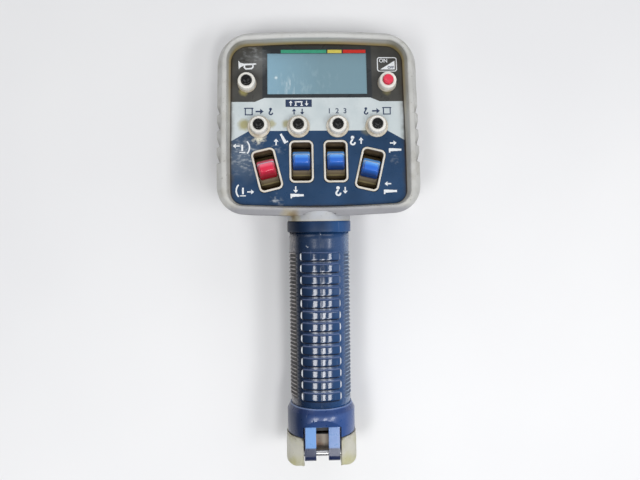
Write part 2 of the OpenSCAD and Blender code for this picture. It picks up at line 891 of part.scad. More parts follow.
// Curved skirt that closes the window on both sides of the paddle, with hub and cam
module drum(l) {
    half = drum_w / 2;
    cheek = 1.8;
    wedge_x = reach * sin(drum_half_angle);
    wedge_y = reach * cos(drum_half_angle);
    color("darkolivegreen")
    panel_spot(l[1], l[2])
        translate([0, 0, -pivot_depth])
            difference() {
                union() {
                    intersection() {
                        difference() {
                            cross_bar(drum_r, half, 0, 0);
                            cross_bar(drum_r - drum_shell, half - cheek, 0, 0);
                        }
                        rotate([90, 0, 90])
                            translate([0, 0, -half])
                                linear_extrude(drum_w)
                                    polygon([[0, 0], [wedge_x, wedge_y], [-wedge_x, wedge_y]]);
                    }
                    cross_bar(hub_r, half, 0, 0);
                    span([-stem_w / 2, -cam_t / 2, -cam_len], [stem_w / 2, cam_t / 2, 0]);
                }
                cross_bar(lever_pin_d / 2 + turn_gap, half + 1, 0, 0);
                linear_extrude(reach)
                    square([stem_w + 2 * seat_gap, stem_l + 2 * seat_gap], center = true);
            }
}

module bezel(l) {
    color("white")
    panel_spot(l[1], l[2])
        translate([0, 0, -skin_under])
            linear_extrude(skin_under + bezel_rise)
                difference() {
                    rounded_rect(bezel_w, bezel_h, bezel_corner);
                    rounded_rect(window_w, window_h, bezel_corner - bezel_rim);
                }
}

module lever_housings() {
    color("black")
    for (l = levers)
        panel_spot(l[1], l[2])
            difference() {
                translate([0, 0, -housing_depth])
                    linear_extrude(housing_depth - skin_under)
                        rounded_rect(housing_w, housing_h, 2);
                translate([0, 0, -housing_depth + housing_floor])
                    linear_extrude(housing_depth)
                        rounded_rect(housing_in_w, housing_in_h, 1);
                cross_bar(lever_pin_d / 2 + hold_gap, reach, 0, -pivot_depth);
            }
}

module lever_pins() {
    color("silver")
    for (l = levers)
        panel_spot(l[1], l[2]) cross_bar(lever_pin_d / 2, housing_w / 2, 0, -pivot_depth);
}

module lever_switches() {
    body_t = 6;
    body_half = 3;
    near = cam_sweep + 2 * free_gap;
    floor_z = -housing_depth + housing_floor;
    top_z = -pivot_depth - hub_r - 2 * free_gap;
    color("dimgray")
    for (l = levers, side = [-1, 1])
        panel_spot(l[1], l[2])
            rotate([0, 0, side * 90])
                span([near, -body_half, floor_z], [near + body_t, body_half, top_z]);
}

module neck_sleeve() {
    color("lightgray")
    difference() {
        union() {
            handle_bar(neck_r, neck_low_y, case_low_y);
            handle_bar(spigot_r, case_low_y - neck_len / 2, case_low_y + case_wall + nut_t + 1);
            handle_bar(tube_r - seat_gap, neck_low_y - plug_len, neck_low_y + neck_len / 2);
        }
        handle_bar(spigot_bore_r, neck_low_y - reach, case_low_y + reach);
        handle_bar(tube_r - grip_wall, neck_low_y - plug_len - 1, neck_low_y);
    }
}

module neck_nut() {
    low = case_low_y + case_wall;
    color("dimgray")
    handle_turned([
        [spigot_r + hold_gap, low], [nut_r, low], [nut_r, low + nut_t], [spigot_r + hold_gap, low + nut_t]
    ]);
}

module handle_collar() {
    r = collar_ring_d / 2;
    color("midnightblue")
    handle_turned([
        [tube_r, grip_top_y], [r - collar_edge, grip_top_y], [r, grip_top_y + collar_edge],
        [r, neck_low_y - collar_edge], [r - collar_edge, neck_low_y], [tube_r, neck_low_y]
    ]);
}

// Wedge about the handle's axis, opening in one direction
module handle_wedge(direction, angle) {
    low = direction - angle / 2;
    high = direction + angle / 2;
    translate([0, grip_top_y, handle_z])
        rotate([90, 0, 0])
            linear_extrude(grip_len)
                polygon([[0, 0], reach * [cos(low), sin(low)], reach * [cos(high), sin(high)]]);
}

// Row of raised rings about the handle, as one turned piece
module grip_rings(top_y, count, pitch, length, rise) {
    edge = min(rise, length / 3);
    core_r = grip_r - grip_wall / 2;
    handle_turned(concat(
        [[core_r, top_y - count * pitch], [core_r, top_y]],
        [
            for (i = [0 : count - 1])
                let (high = top_y - i * pitch)
                each [
                    [grip_r, high], [grip_r + rise, high - edge],
                    [grip_r + rise, high - length + edge], [grip_r, high - length]
                ]
        ],
        [[grip_r, top_y - count * pitch]]
    ));
}

module handle_grip() {
    first_y = grip_top_y - pad_start;
    rib_count = floor(pad_count * pad_pitch / rib_pitch);
    rib_angle = 76;
    rib_share = 0.55;
    color("darkslateblue")
    difference() {
        union() {
            handle_bar(grip_r, end_top_y - socket_len, grip_top_y);
            intersection() {
                grip_rings(first_y, pad_count, pad_pitch, pad_len, pad_rise);
                handle_wedge(90, pad_angle);
            }
            for (direction = [-10, 190])
                intersection() {
                    grip_rings(first_y, rib_count, rib_pitch, rib_pitch * rib_share, rib_rise);
                    handle_wedge(direction, rib_angle);
                }
        }
        handle_bar(tube_r, end_top_y - reach, grip_top_y + 1);
        span([-slot_half, slot_low_y, -reach], [slot_half, slot_top_y, handle_z]);
        cross_bar(trigger_pin_d / 2 + hold_gap, reach, trigger_y, trigger_z);
    }
}

module speed_trigger() {
    color("midnightblue")
    difference() {
        union() {
            hull() {
                cross_bar(trigger_hub_r, trigger_w / 2, trigger_y, trigger_z, $fn = 32);
                cross_bar(trigger_knee_r, trigger_w / 2, trigger_knee.x, trigger_knee.y, $fn = 32);
            }
            hull() {
                cross_bar(trigger_knee_r, trigger_w / 2, trigger_knee.x, trigger_knee.y, $fn = 32);
                cross_bar(trigger_tip_r, trigger_w / 2, trigger_tip.x, trigger_tip.y, $fn = 32);
            }
        }
        cross_bar(trigger_pin_d / 2 + turn_gap, trigger_w, trigger_y, trigger_z);
    }
}

module trigger_pin() {
    half = sqrt(grip_r * grip_r - trigger_back * trigger_back) - pin_inset;
    color("silver") cross_bar(trigger_pin_d / 2, half, trigger_y, trigger_z);
}

// Coil between the trigger and the battery holder
module trigger_spring() {
    sides = 6;
    steps = 10 * spring_turns;
    low = trigger_z - spring_along * trigger_out + trigger_tip_r + spring_wire_r + 3 * free_gap;
    high = holder_back_z - spring_wire_r - free_gap;
    points = [
        for (i = [0 : steps], j = [0 : sides - 1])
            let (
                turn = 360 * spring_turns * i / steps,
                side = 360 * j / sides,
                out = spring_r + spring_wire_r * cos(side)
            )
            [out * cos(turn), out * sin(turn), low + (high - low) * i / steps + spring_wire_r * sin(side)]
    ];
    walls = [
        for (i = [0 : steps - 1], j = [0 : sides - 1])
            let (next = (j + 1) % sides)
            [i * sides + j, (i + 1) * sides + j, (i + 1) * sides + next, i * sides + next]
    ];
    ends = [[for (j = [0 : sides - 1]) j], [for (j = [sides - 1 : -1 : 0]) steps * sides + j]];
    color("silver") translate([0, spring_y, 0]) polyhedron(points, concat(walls, ends));
}

module trigger_sensor() {
    half = 4;
    t = 3.2;
    color("black") span([-half, sensor_low_y, holder_back_z - t], [half, sensor_top_y, holder_back_z]);
}

module battery_holder() {
    color("black")
    difference() {
        intersection() {
            handle_bar(holder_r, holder_low_y, holder_top_y);
            span([-reach, -reach, holder_back_z], [reach, reach, cell_z + holder_half]);
        }
        for (side = [-1, 1])
            translate([side * cell_x, cell_top_y + contact_t, cell_z])
                rotate([90, 0, 0])
                    cylinder(r = holder_bore_r, h = reach);
    }
}

module battery_cells() {
    nub_r = 2.75;
    nub_len = 1;
    color("darkorange")
    for (side = [-1, 1], i = [0, 1])
        translate([side * cell_x, cell_low_y + i * cell_len, cell_z])
            rotate([-90, 0, 0])
                rotate_extrude()
                    polygon([
                        [0, 0], [cell_d / 2 - seat_gap, 0], [cell_d / 2 - seat_gap, cell_len - nub_len],
                        [nub_r, cell_len - nub_len], [nub_r, cell_len - hold_gap], [0, cell_len - hold_gap]
                    ]);
}

module battery_contacts() {
    margin = 1;
    color("gold")
    for (side = [-1, 1])
        translate([side * cell_x, cell_top_y + contact_t, cell_z])
            rotate([90, 0, 0])
                cylinder(r = cell_d / 2 - margin, h = contact_t);
}

// Space above the slope that leads from the lower collar down to the prongs
module prong_ramp() {
    start = [notch_y + prong_slope, handle_z + end_d / 2];
    end = [notch_y, hinge_z + prong_r];
    translate([-reach, 0, 0])
        rotate([90, 0, 90])
            linear_extrude(2 * reach)
                polygon([end, start, [start.x, reach], [end.x, reach]]);
}

module end_collar() {
    r = end_d / 2;
    socket_y = end_top_y - socket_len;
    socket_r = grip_r + hold_gap;
    root_low = [0, cap_top_y - 1, cell_z + holder_half + free_gap];
    root_high = [prong_w, socket_y - seat_gap, hinge_z + prong_r];
    color("darkslateblue")
    difference() {
        union() {
            difference() {
                handle_turned([
                    [tube_r, end_low_y], [r - collar_edge, end_low_y], [r, end_low_y + collar_edge],
                    [r, end_top_y - end_slope], [grip_r + pad_rise, end_top_y], [socket_r, end_top_y],
                    [socket_r, socket_y], [tube_r, socket_y]
                ]);
                span([-hinge_half, end_low_y - 1, handle_z], [hinge_half, notch_y, handle_z + reach]);
                prong_ramp();
            }
            for (side = [-1, 1])
                translate([side * prong_mid - prong_w / 2, 0, 0]) {
                    span([0, hinge_y, hinge_z - prong_r], [prong_w, cap_top_y, hinge_z + prong_r]);
                    hull()
                        for (y = [hinge_y, hinge_y - prong_tip])
                            translate([prong_w / 2, 0, 0]) cross_bar(prong_r, prong_w / 2, y, hinge_z);
                    intersection() {
                        span(root_low, root_high);
                        handle_bar(r - collar_edge, end_low_y - reach, end_top_y);
                    }
                }
        }
        cross_bar(hinge_pin_r + hold_gap, reach, hinge_y, hinge_z);
    }
}

module hinge_pin() {
    color("silver") cross_bar(hinge_pin_r, pin_half, hinge_y, hinge_z);
}

module cap_body() {
    r = cap_d / 2;
    round_centre = [r - cap_round, cap_low_y + cap_round];
    round_points = [for (turn = [0 : 15 : 90]) round_centre + cap_round * [sin(turn), -cos(turn)]];
    handle_turned(concat([[0, cap_low_y]], round_points, [[r, cap_top_y], [0, cap_top_y]]));
}

module battery_cap() {
    color("ivory")
    difference() {
        cap_body();
        difference() {
            handle_bar(cap_d / 2 - cap_wall, cap_floor_y, cap_top_y + 1);
            span([-reach, -reach, ear_floor], [reach, reach, reach]);
        }
        span([-hinge_half, -reach, ear_floor], [hinge_half, reach, reach]);
        span([-hinge_half, -reach, -reach], [hinge_half, cap_end_y, reach]);
        difference() {
            span([-reach, -reach, hinge_z], [reach, reach, reach]);
            cross_bar(ear_r, reach, hinge_y, hinge_z);
        }
        span([-reach, -reach, -reach], [reach, reach, handle_z - cap_d / 2 + cap_flat]);
        cross_bar(hinge_pin_r + turn_gap, pin_half + free_gap, hinge_y, hinge_z);
    }
}

// Round bar with a flat front, drawn in from the lining's outside
module liner_bar(inward, low, top) {
    intersection() {
        handle_bar(liner_r - inward, low, top);
        span([-reach, -reach, -reach], [reach, reach, liner_front - inward]);
    }
}

module cap_liner() {
    top = cap_top_y - seal_t;
    color("dimgray")
    difference() {
        liner_bar(0, cap_floor_y, top);
        liner_bar(liner_t, cap_floor_y + liner_t, top + 1);
    }
}

module cap_seal() {
    low = cap_top_y - seal_t;
    color("black")
    difference() {
        liner_bar(0, low, cap_top_y);
        liner_bar(liner_t, low - 1, cap_top_y + 1);
    }
}

// Strip with two studs that joins the lower ends of the cells
module cap_contact() {
    low = cap_floor_y + liner_t;
    strip_half = 4;
    stud_r = 2;
    stud_top = cell_low_y - free_gap;
    strip_x = cell_x + strip_half;
    color("gold") {
        span([-strip_x, low, cell_z - strip_half], [strip_x, low + contact_t, cell_z + strip_half]);
        for (side = [-1, 1])
            translate([side * cell_x, stud_top, cell_z])
                rotate([90, 0, 0])
                    cylinder(r = stud_r, h = stud_top - low);
    }
}

bumper();
front_case();
rear_cover();
case_gasket();
case_screws();
face_plate();
display_window();
display_module();
control_board();
board_screws();
button_switches();
radio_module();
antenna();
buzzer();
wiring();
lever_housings();
lever_pins();
lever_switches();
neck_sleeve();
neck_nut();
handle_collar();
handle_grip();
end_collar();
speed_trigger();
trigger_pin();
trigger_spring();
trigger_sensor();
battery_holder();
battery_cells();
battery_contacts();
hinge_pin();
battery_cap();
cap_liner();
cap_seal();
cap_contact();
for (b = buttons) button_collar(b);
for (b = buttons) button(b);
for (l = levers) lever(l);
for (l = levers) drum(l);
for (l = levers) bezel(l);
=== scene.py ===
import json
import math

import bmesh
import bpy
from mathutils import Matrix, Vector


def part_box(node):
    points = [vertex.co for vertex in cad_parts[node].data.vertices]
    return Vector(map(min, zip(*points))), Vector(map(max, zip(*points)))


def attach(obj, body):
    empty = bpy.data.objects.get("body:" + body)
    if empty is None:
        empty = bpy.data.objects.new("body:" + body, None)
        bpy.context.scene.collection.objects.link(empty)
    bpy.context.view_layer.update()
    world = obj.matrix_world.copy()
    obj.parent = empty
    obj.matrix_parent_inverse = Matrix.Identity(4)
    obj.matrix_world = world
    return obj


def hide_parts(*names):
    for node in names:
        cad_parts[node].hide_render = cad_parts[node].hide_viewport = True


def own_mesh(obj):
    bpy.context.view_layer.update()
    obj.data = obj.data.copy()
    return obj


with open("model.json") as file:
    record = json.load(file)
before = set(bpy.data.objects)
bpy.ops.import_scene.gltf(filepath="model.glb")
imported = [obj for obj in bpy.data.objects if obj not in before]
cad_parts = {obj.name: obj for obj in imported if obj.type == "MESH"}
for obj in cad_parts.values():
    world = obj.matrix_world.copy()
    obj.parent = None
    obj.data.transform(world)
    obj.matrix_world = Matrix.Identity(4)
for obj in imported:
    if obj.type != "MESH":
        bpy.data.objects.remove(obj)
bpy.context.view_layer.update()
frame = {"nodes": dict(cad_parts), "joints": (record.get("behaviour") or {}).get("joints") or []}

# Shapes are written in millimetres and turned into metres when a mesh is made
MM = 0.001
X, Y, Z = range(3)
WORLD = Matrix.Identity(4)
NODES = frame["nodes"]
JOINTS = {joint["name"]: joint for joint in frame["joints"]}
BUTTONS = ["horn", "power", "hook_out", "jack", "mode", "hook_stow"]
LEVERS = ["swing", "boom", "hook", "telescope"]

# Places that come from the frame


def box_mm(node):
    """Lowest and highest corner of a node, in millimetres."""
    low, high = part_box(node)
    return low / MM, high / MM


press_axis = Vector(JOINTS["horn_press"]["axis"])
TILT = math.atan2(-press_axis.y, -press_axis.z)
plate_low, plate_high = box_mm("face_plate")
LIFT = plate_high.z + plate_low.y * math.tan(TILT)
PANEL = Matrix.Translation((0, 0, LIFT)) @ Matrix.Rotation(-TILT, 4, "X")
TO_PANEL = PANEL.inverted()
PANEL_UP = (PANEL.to_3x3() @ Vector((0, 0, 1))).normalized()

ring_low, ring_high = box_mm("handle_collar")
HANDLE_Z = (ring_low.z + ring_high.z) / 2
HANDLE = Matrix.Translation((0, 0, HANDLE_Z)) @ Matrix.Rotation(math.radians(-90), 4, "X")
neck_low, neck_high = box_mm("neck_sleeve")
NECK_R = (neck_high.z - neck_low.z) / 2
CASE_LOW_Y = box_mm("rear_cover")[0].y
hinge = Vector(JOINTS["cap_open"]["pos_m"]) / MM


def panel_box(node):
    """Lowest and highest corner of a node in the panel's own frame."""
    spots = [TO_PANEL @ (vertex.co / MM) for vertex in NODES[node].data.vertices]
    return [Vector(map(pick, zip(*spots))) for pick in (min, max)]


def panel_middle(node):
    """Place of a node on the panel."""
    low, high = panel_box(node)
    return (low.x + high.x) / 2, (low.y + high.y) / 2


def lever_frame(name):
    """Frame of a lever: X along its pin, Z away from the panel, origin at its pivot."""
    joint = JOINTS[name + "_tilt"]
    across = Vector(joint["axis"]).normalized()
    along = PANEL_UP.cross(across)
    turn = Matrix((across, along, PANEL_UP)).transposed().to_4x4()
    return Matrix.Translation(Vector(joint["pos_m"]) / MM) @ turn


def spot_frame(x, v):
    """Frame on the panel's surface at a place."""
    return PANEL @ Matrix.Translation((x, v, 0))


# The prints are measured from a line just above the middle row of buttons
PRINT_LINE = 2.26
PRINTS = spot_frame(0, panel_middle("jack_collar")[1] + PRINT_LINE)


def on_print(x, y):
    """Point on the panel, at a place among the prints."""
    return PRINTS @ Vector((x, y, 0))


# Sizes of the grip

GRIP_R = 18.6
GRIP_WALL = 2.2
PAD_RISE = 0.7
PAD_LEN = 4.7
PAD_PITCH = 7.1
PAD_COUNT = 13
PAD_START = 12.4
PAD_HALF = math.radians(40)
PAD_CORNER = 1.7
PAD_EDGE = 0.42
RIB_PITCH = 2.37
RIB_RISE = 0.4
RIB_DEEP = 0.2
RIB_RAMP = 0.4
RIB_WIDTH = 0.5 * RIB_PITCH
RIB_COUNT = int(PAD_COUNT * PAD_PITCH / RIB_PITCH)
RIB_MIDDLE = math.radians(-5)
RIB_HALF = math.radians(43)
SLOT_X = 6.6
SLOT_HALF = math.asin(SLOT_X / (GRIP_R - GRIP_WALL))
FRONT = math.radians(90)
BACK = math.radians(270)
grip_top_y = ring_low.y
pad_top_y = grip_top_y - PAD_START
pad_low_y = pad_top_y - (PAD_COUNT - 1) * PAD_PITCH - PAD_LEN
rib_low_y = pad_top_y - RIB_COUNT * RIB_PITCH

# Sizes of the head

HEAD_W = 123.5
HEAD_H = 116.7
NOTCH_DEPTH = 2.1
NOTCH_PITCH = 10
NOTCH_LEN = 0.75 * NOTCH_PITCH
NOTCH_TOP = 12.5
NOTCH_COUNT = 4
notch_starts = [NOTCH_TOP - i * NOTCH_PITCH for i in range(NOTCH_COUNT)]

# Shape helpers


def smooth(value, low, high):
    """0 below low, 1 above high, and a soft step between them."""
    share = min(max((value - low) / (high - low), 0), 1)
    return share * share * (3 - 2 * share)


def lerp(one, two, share):
    """Value at a share of the way from one to two."""
    return one + (two - one) * share


def full_turn(steps):
    """Angles of a full turn in equal steps."""
    return [2 * math.pi * i / steps for i in range(steps)]


def corner_arc(before, corner, after, radius, steps):
    """Points of an arc that rounds a corner."""
    start, middle, end = (Vector(point[:2]) for point in (before, corner, after))
    one, two = (start - middle).normalized(), (end - middle).normalized()
    half = one.angle(two) / 2
    radius = min(radius, 0.49 * math.tan(half) * min((start - middle).length, (end - middle).length))
    centre = middle + (one + two).normalized() * radius / math.sin(half)
    first = middle + one * radius / math.tan(half) - centre
    last = middle + two * radius / math.tan(half) - centre
    sweep = math.atan2(first.cross(last), first.dot(last))
    return [centre + Matrix.Rotation(sweep * i / steps, 2) @ first for i in range(steps + 1)]


def rounded(corners, steps=6, closed=True):
    """Outline through (x, y, radius) corners. A corner without a radius stays sharp."""
    count = len(corners)
    points = []
    for i, corner in enumerate(corners):
        at_end = not closed and i in (0, count - 1)
        if at_end or len(corner) < 3 or not corner[2]:
            points.append(Vector(corner[:2]))
        else:
            points += corner_arc(corners[i - 1], corner, corners[(i + 1) % count], corner[2], steps)
    return points


def rounded_rect(width, height, radius, steps=6):
    """Outline of a rectangle with round corners."""
    x, y = width / 2, height / 2
    return rounded([(-x, -y, radius), (x, -y, radius), (x, y, radius), (-x, y, radius)], steps)


def circle(radius, steps):
    """Outline of a circle."""
    return [Vector((radius * math.cos(turn), radius * math.sin(turn))) for turn in full_turn(steps)]


def inset(points, distance):
    """Closed outline drawn in along the normals of its corners."""
    count = len(points)
    drawn = []
    for i, point in enumerate(points):
        one = (point - points[i - 1]).normalized()
        two = (points[(i + 1) % count] - point).normalized()
        middle = (one + two).normalized()
        normal = Vector((-middle.y, middle.x))
        drawn.append(point + normal * distance / max(0.5, normal.dot(Vector((-one.y, one.x)))))
    return drawn


def lift(points, height):
    """Outline at a height."""
    return [Vector((point.x, point.y, height)) for point in points]


def loft(rings, looped=False, ends=True):
    """Vertices and faces through closed rings that have equally many points."""
    size = len(rings[0])
    verts = [point for ring in rings for point in ring]
    faces = []
    for k in range(len(rings) if looped else len(rings) - 1):
        here, there = k * size, (k + 1) % len(rings) * size
        for i in range(size):
            j = (i + 1) % size
            faces.append((here + i, here + j, there + j, there + i))
    if ends and not looped:
        faces.append(tuple(reversed(range(size))))
        faces.append(tuple(range(len(verts) - size, len(verts))))
    return verts, faces


def lathe(profile, steps, looped=False):
    """Vertices and faces of a turned piece, from (radius, height) points."""
    turns = full_turn(steps)
    rings = [[Vector((r * math.cos(t), r * math.sin(t), h)) for t in turns] for r, h in profile]
    return loft(rings, looped)


def joined(*shapes):
    """One shape of several, each vertices and faces."""
    verts, faces = [], []
    for some_verts, some_faces in shapes:
        faces += [tuple(len(verts) + i for i in face) for face in some_faces]
        verts += list(some_verts)
    return verts, faces


def placed(shape, matrix):
    """Shape moved into a frame."""
    verts, faces = shape
    return [matrix @ Vector(vert) for vert in verts], faces


def add(name, mesh, look, body, slot, replaces):
    """New object of a mesh that rides on a body and may stand for the CAD node of its slot."""
    mesh.materials.clear()
    mesh.materials.append(look.material)
    made = bpy.data.objects.new(name, mesh)
    bpy.context.scene.collection.objects.link(made)
    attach(made, body)
    if replaces:
        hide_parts(slot)
    return made


def piece(name, shape, look, body, slot, sharp=35, replaces=True):
    """New object of a shape, smooth except where faces meet at more than an angle."""
    verts, faces = shape
    mesh = bpy.data.meshes.new(name)
    mesh.from_pydata([MM * Vector(vert) for vert in verts], [], faces)
    work = bmesh.new()
    work.from_mesh(mesh)
    bmesh.ops.recalc_face_normals(work, faces=work.faces)
    work.to_mesh(mesh)
    work.free()
    mesh.polygons.foreach_set("use_smooth", [True] * len(mesh.polygons))
    mesh.set_sharp_from_angle(angle=math.radians(sharp))
    return add(name, mesh, look, body, slot, replaces)


# Material helpers


def rgb(red, green, blue):
    """Colour as it is seen, 0 to 255, in the linear values that shaders take."""
    return (*(((c / 255 + 0.055) / 1.055) ** 2.4 for c in (red, green, blue)), 1)


def shade(colour, factor):
    """Lighter or darker kind of a colour."""
    return (*(min(c * factor, 1) for c in colour[:3]), 1)


class Nodes:
    """Short calls for the nodes of a material or a world."""

    def __init__(self, owner):
        owner.use_nodes = True
        self.tree = owner.node_tree

    def put(self, socket, value):
        """Links a socket or sets its value."""
        if isinstance(value, bpy.types.NodeSocket):
            self.tree.links.new(value, socket)
        else:
            socket.default_value = value

    def node(self, kind, sockets=(), **settings):
        """New node with its settings and inputs."""
        made = self.tree.nodes.new(kind)
        for key, value in settings.items():
            setattr(made, key, value)
        for key, value in dict(sockets).items():
            self.put(made.inputs[key], value)
        return made

    def calc(self, operation, one, two=0.0):
        """Result of a sum with one or two values."""
        return self.node("ShaderNodeMath", {0: one, 1: two}, operation=operation).outputs[0]

    def fold(self, operation, values):
        """One value of several, taken two at a time."""
        result = values[0]
        for value in values[1:]:
            result = self.calc(operation, result, value)
        return result

    def times(self, *masks):
        """Product of masks."""
        return self.fold("MULTIPLY", masks)

    def most(self, *masks):
        """Greatest of masks."""
        return self.fold("MAXIMUM", masks)

    def spread(self, value, low, high, to_low=0.0, to_high=1.0):
        """Value moved from one range to another, without going past it."""
        sockets = {"Value": value, "From Min": low, "From Max": high, "To Min": to_low, "To Max": to_high}
        return self.node("ShaderNodeMapRange", sockets).outputs[0]

    def band(self, value, start, full, last, end):
        """Mask that rises from start to full and falls from last to end."""
        return self.times(self.spread(value, start, full), self.spread(value, end, last))

    def mix(self, share, one, two):
        """Colour between two colours."""
        return self.node("ShaderNodeMix", {0: share, 6: one, 7: two}, data_type="RGBA").outputs[2]


class Look(Nodes):
    """A material, with masks and layers for its surface."""

    def __init__(self, name):
        self.material = bpy.data.materials.new(name)
        super().__init__(self.material)
        self.shader = self.tree.nodes["Principled BSDF"]
        self.place = self.node("ShaderNodeTexCoord").outputs["Object"]

    def set(self, **sockets):
        """Sets sockets of the shader, with _ for a space in their names."""
        for key, value in sockets.items():
            self.put(self.shader.inputs[key.replace("_", " ")], value)

    def noise(self, grain, low=0.3, high=0.7, detail=4, stretch=(1, 1, 1), turn=(0, 0, 0)):
        """Cloudy mask with spots of about grain millimetres."""
        sockets = {"Vector": self.place, "Scale": stretch, "Rotation": turn}
        place = self.node("ShaderNodeMapping", sockets).outputs[0]
        sockets = {"Vector": place, "Scale": 1 / (grain * MM), "Detail": detail}
        return self.spread(self.node("ShaderNodeTexNoise", sockets).outputs[0], low, high)

    def height(self, axis, matrix=WORLD):
        """Coordinate of the surface in a frame, in millimetres."""
        normal = matrix.to_3x3().col[axis].normalized()
        sockets = {0: self.place, 1: normal}
        along = self.node("ShaderNodeVectorMath", sockets, operation="DOT_PRODUCT").outputs["Value"]
        offset = normal.dot(matrix.translation)
        return self.calc("SUBTRACT", self.calc("DIVIDE", along, MM), offset)

    def away(self, axis, matrix=WORLD):
        """Distance of the surface from the middle of a frame, along an axis."""
        return self.calc("ABSOLUTE", self.height(axis, matrix))

    def near(self, point, radius, ragged=0.4, soft=0.6):
        """Mask that is 1 at a point and fades out at a radius, with a ragged edge."""
        sockets = {0: self.place, 1: MM * Vector(point)}
        away = self.node("ShaderNodeVectorMath", sockets, operation="DISTANCE").outputs["Value"]
        wobble = self.noise(radius / 2)
        reach = self.spread(wobble, 0, 1, radius * (1 - ragged) * MM, radius * MM)
        return self.spread(self.calc("DIVIDE", away, reach), 1 - soft, 1, 1, 0)

    def paint(self, colour):
        """Sets the colour of the whole surface."""
        self.base = colour
        self.set(Base_Color=colour)

    def over(self, colour, *masks):
        """Puts a colour over the surface where all masks are set."""
        self.paint(self.mix(self.times(*masks), self.base, colour))

    def roughen(self, low, high, grain, detail=4, stretch=(1, 1, 1)):
        """Sets a roughness that wanders between two values."""
        self.rough = self.spread(self.noise(grain, detail=detail, stretch=stretch), 0, 1, low, high)
        self.set(Roughness=self.rough)

    def texture(self, grain, depth, detail=4, stretch=(1, 1, 1)):
        """Gives the surface a fine grain of a depth in millimetres."""
        sockets = {"Height": self.noise(grain, 0.2, 0.8, detail, stretch), "Distance": depth * MM}
        self.set(Normal=self.node("ShaderNodeBump", {**sockets, "Strength": 1.0}).outputs[0])


SPECK_BROWN = rgb(62, 58, 50)


def moulded(name, colour, rough, soil, soiled, speck=0.0, grain=0.5, depth=0.02, gloss=0.0, shine=0.5):
    """Moulded plastic or rubber with clouded tone, soil, specks and a fine texture."""
    look = Look(name)
    look.paint(look.mix(look.noise(14), shade(colour, 0.88), shade(colour, 1.08)))
    look.over(soil, look.noise(9, 0.48, 0.75, 6), soiled)
    if speck:
        look.over(SPECK_BROWN, look.noise(1.3, 0.66, 0.74, 2), speck)
    look.roughen(rough * 0.85, rough * 1.2, 3, 5)
    look.set(Coat_Weight=gloss, Coat_Roughness=0.1, Specular_IOR_Level=shine)
    look.texture(grain, depth)
    return look


# Materials. Limits of masks are in millimetres, and a last number is the share of a colour

WHITE_RUBBER = rgb(232, 230, 224)
YELLOWED = rgb(176, 158, 108)
GREY_RUBBER = rgb(190, 190, 187)
RUST_BROWN = rgb(112, 90, 50)
NAVY = rgb(22, 48, 82)
DRAWN = (0.2, 1, 1)
INSIDE_X = 55.4
INSIDE_Y = 52.4
INSIDE_CORNER = 103


def bumper_look():
    """Grey rubber, yellowed and grimy inside its lip, with painted shade in its notches, creases and lower
    edge and painted light on its upper edge.
    """
    soil = rgb(150, 145, 130)
    look = moulded("bumper_rubber", GREY_RUBBER, 0.55, soil, 0.5, speck=0.45, grain=0.6, depth=0.03)
    rise = look.height(Z, PANEL)
    y = look.height(Y)
    away_x = look.away(X)
    away_y = look.away(Y)
    corner_way = look.calc("ADD", away_x, away_y)
    inside = look.times(
        look.spread(away_x, INSIDE_X + 0.8, INSIDE_X),
        look.spread(away_y, INSIDE_Y + 0.8, INSIDE_Y),
        look.spread(corner_way, INSIDE_CORNER + 2, INSIDE_CORNER),
    )
    above = look.spread(y, 0, 40, 0.15, 1)
    wall = look.spread(rise, 7.6, 7.0)
    look.over(rgb(158, 154, 130), wall, inside, above, 0.4)
    foot = look.times(look.spread(rise, 5.2, 2.4), look.noise(7, 0.15, 0.45, 4))
    look.over(rgb(178, 160, 114), foot, inside, above)
    # Painted shade: a thin dark line along the top of the lip's inner wall
    ridge_shade = look.band(rise, 6.9, 7.3, 7.8, 8.2)
    look.over(rgb(112, 110, 100), ridge_shade, inside, look.spread(y, 30, 46), 0.5)
    # Grime and painted shade where the inner wall meets the panel
    line = look.spread(rise, 0.9, 0.3)
    look.over(rgb(58, 48, 38), line, inside, 0.85)
    for side in (-1, 1):
        corner = look.near(PANEL @ Vector((side * 47, 44, 3)), 10, 0.4, 0.8)
        look.over(rgb(106, 98, 58), corner, inside, 0.6)
    # Painted shade on the lower edge, which faces away from the light
    low_edge = look.spread(y, -50.5, -54)
    look.over(rgb(138, 138, 146), low_edge, 0.75)
    # Painted light on the upper edge
    top_edge = look.spread(y, 48, 52)
    look.over(rgb(214, 214, 212), top_edge, look.spread(rise, 2, 6), 0.5)
    # Painted shade at the lower end of each finger notch
    sides = look.spread(away_x, HEAD_W / 2 - 3.4, HEAD_W / 2 - 2.4)
    for start in notch_starts:
        low = start - NOTCH_LEN
        notch_shade = look.band(y, low - 0.9, low - 0.3, low + 0.8, low + 5.5)
        look.over(rgb(104, 101, 97), sides, notch_shade, 0.65)
    look.over(YELLOWED, look.near((-18, -57, 47), 9, 0.5, 0.9), 0.6)
    look.over(RUST_BROWN, look.near((-15.6, -57.6, 46), 6, 0.5, 0.9), 0.8)
    return look


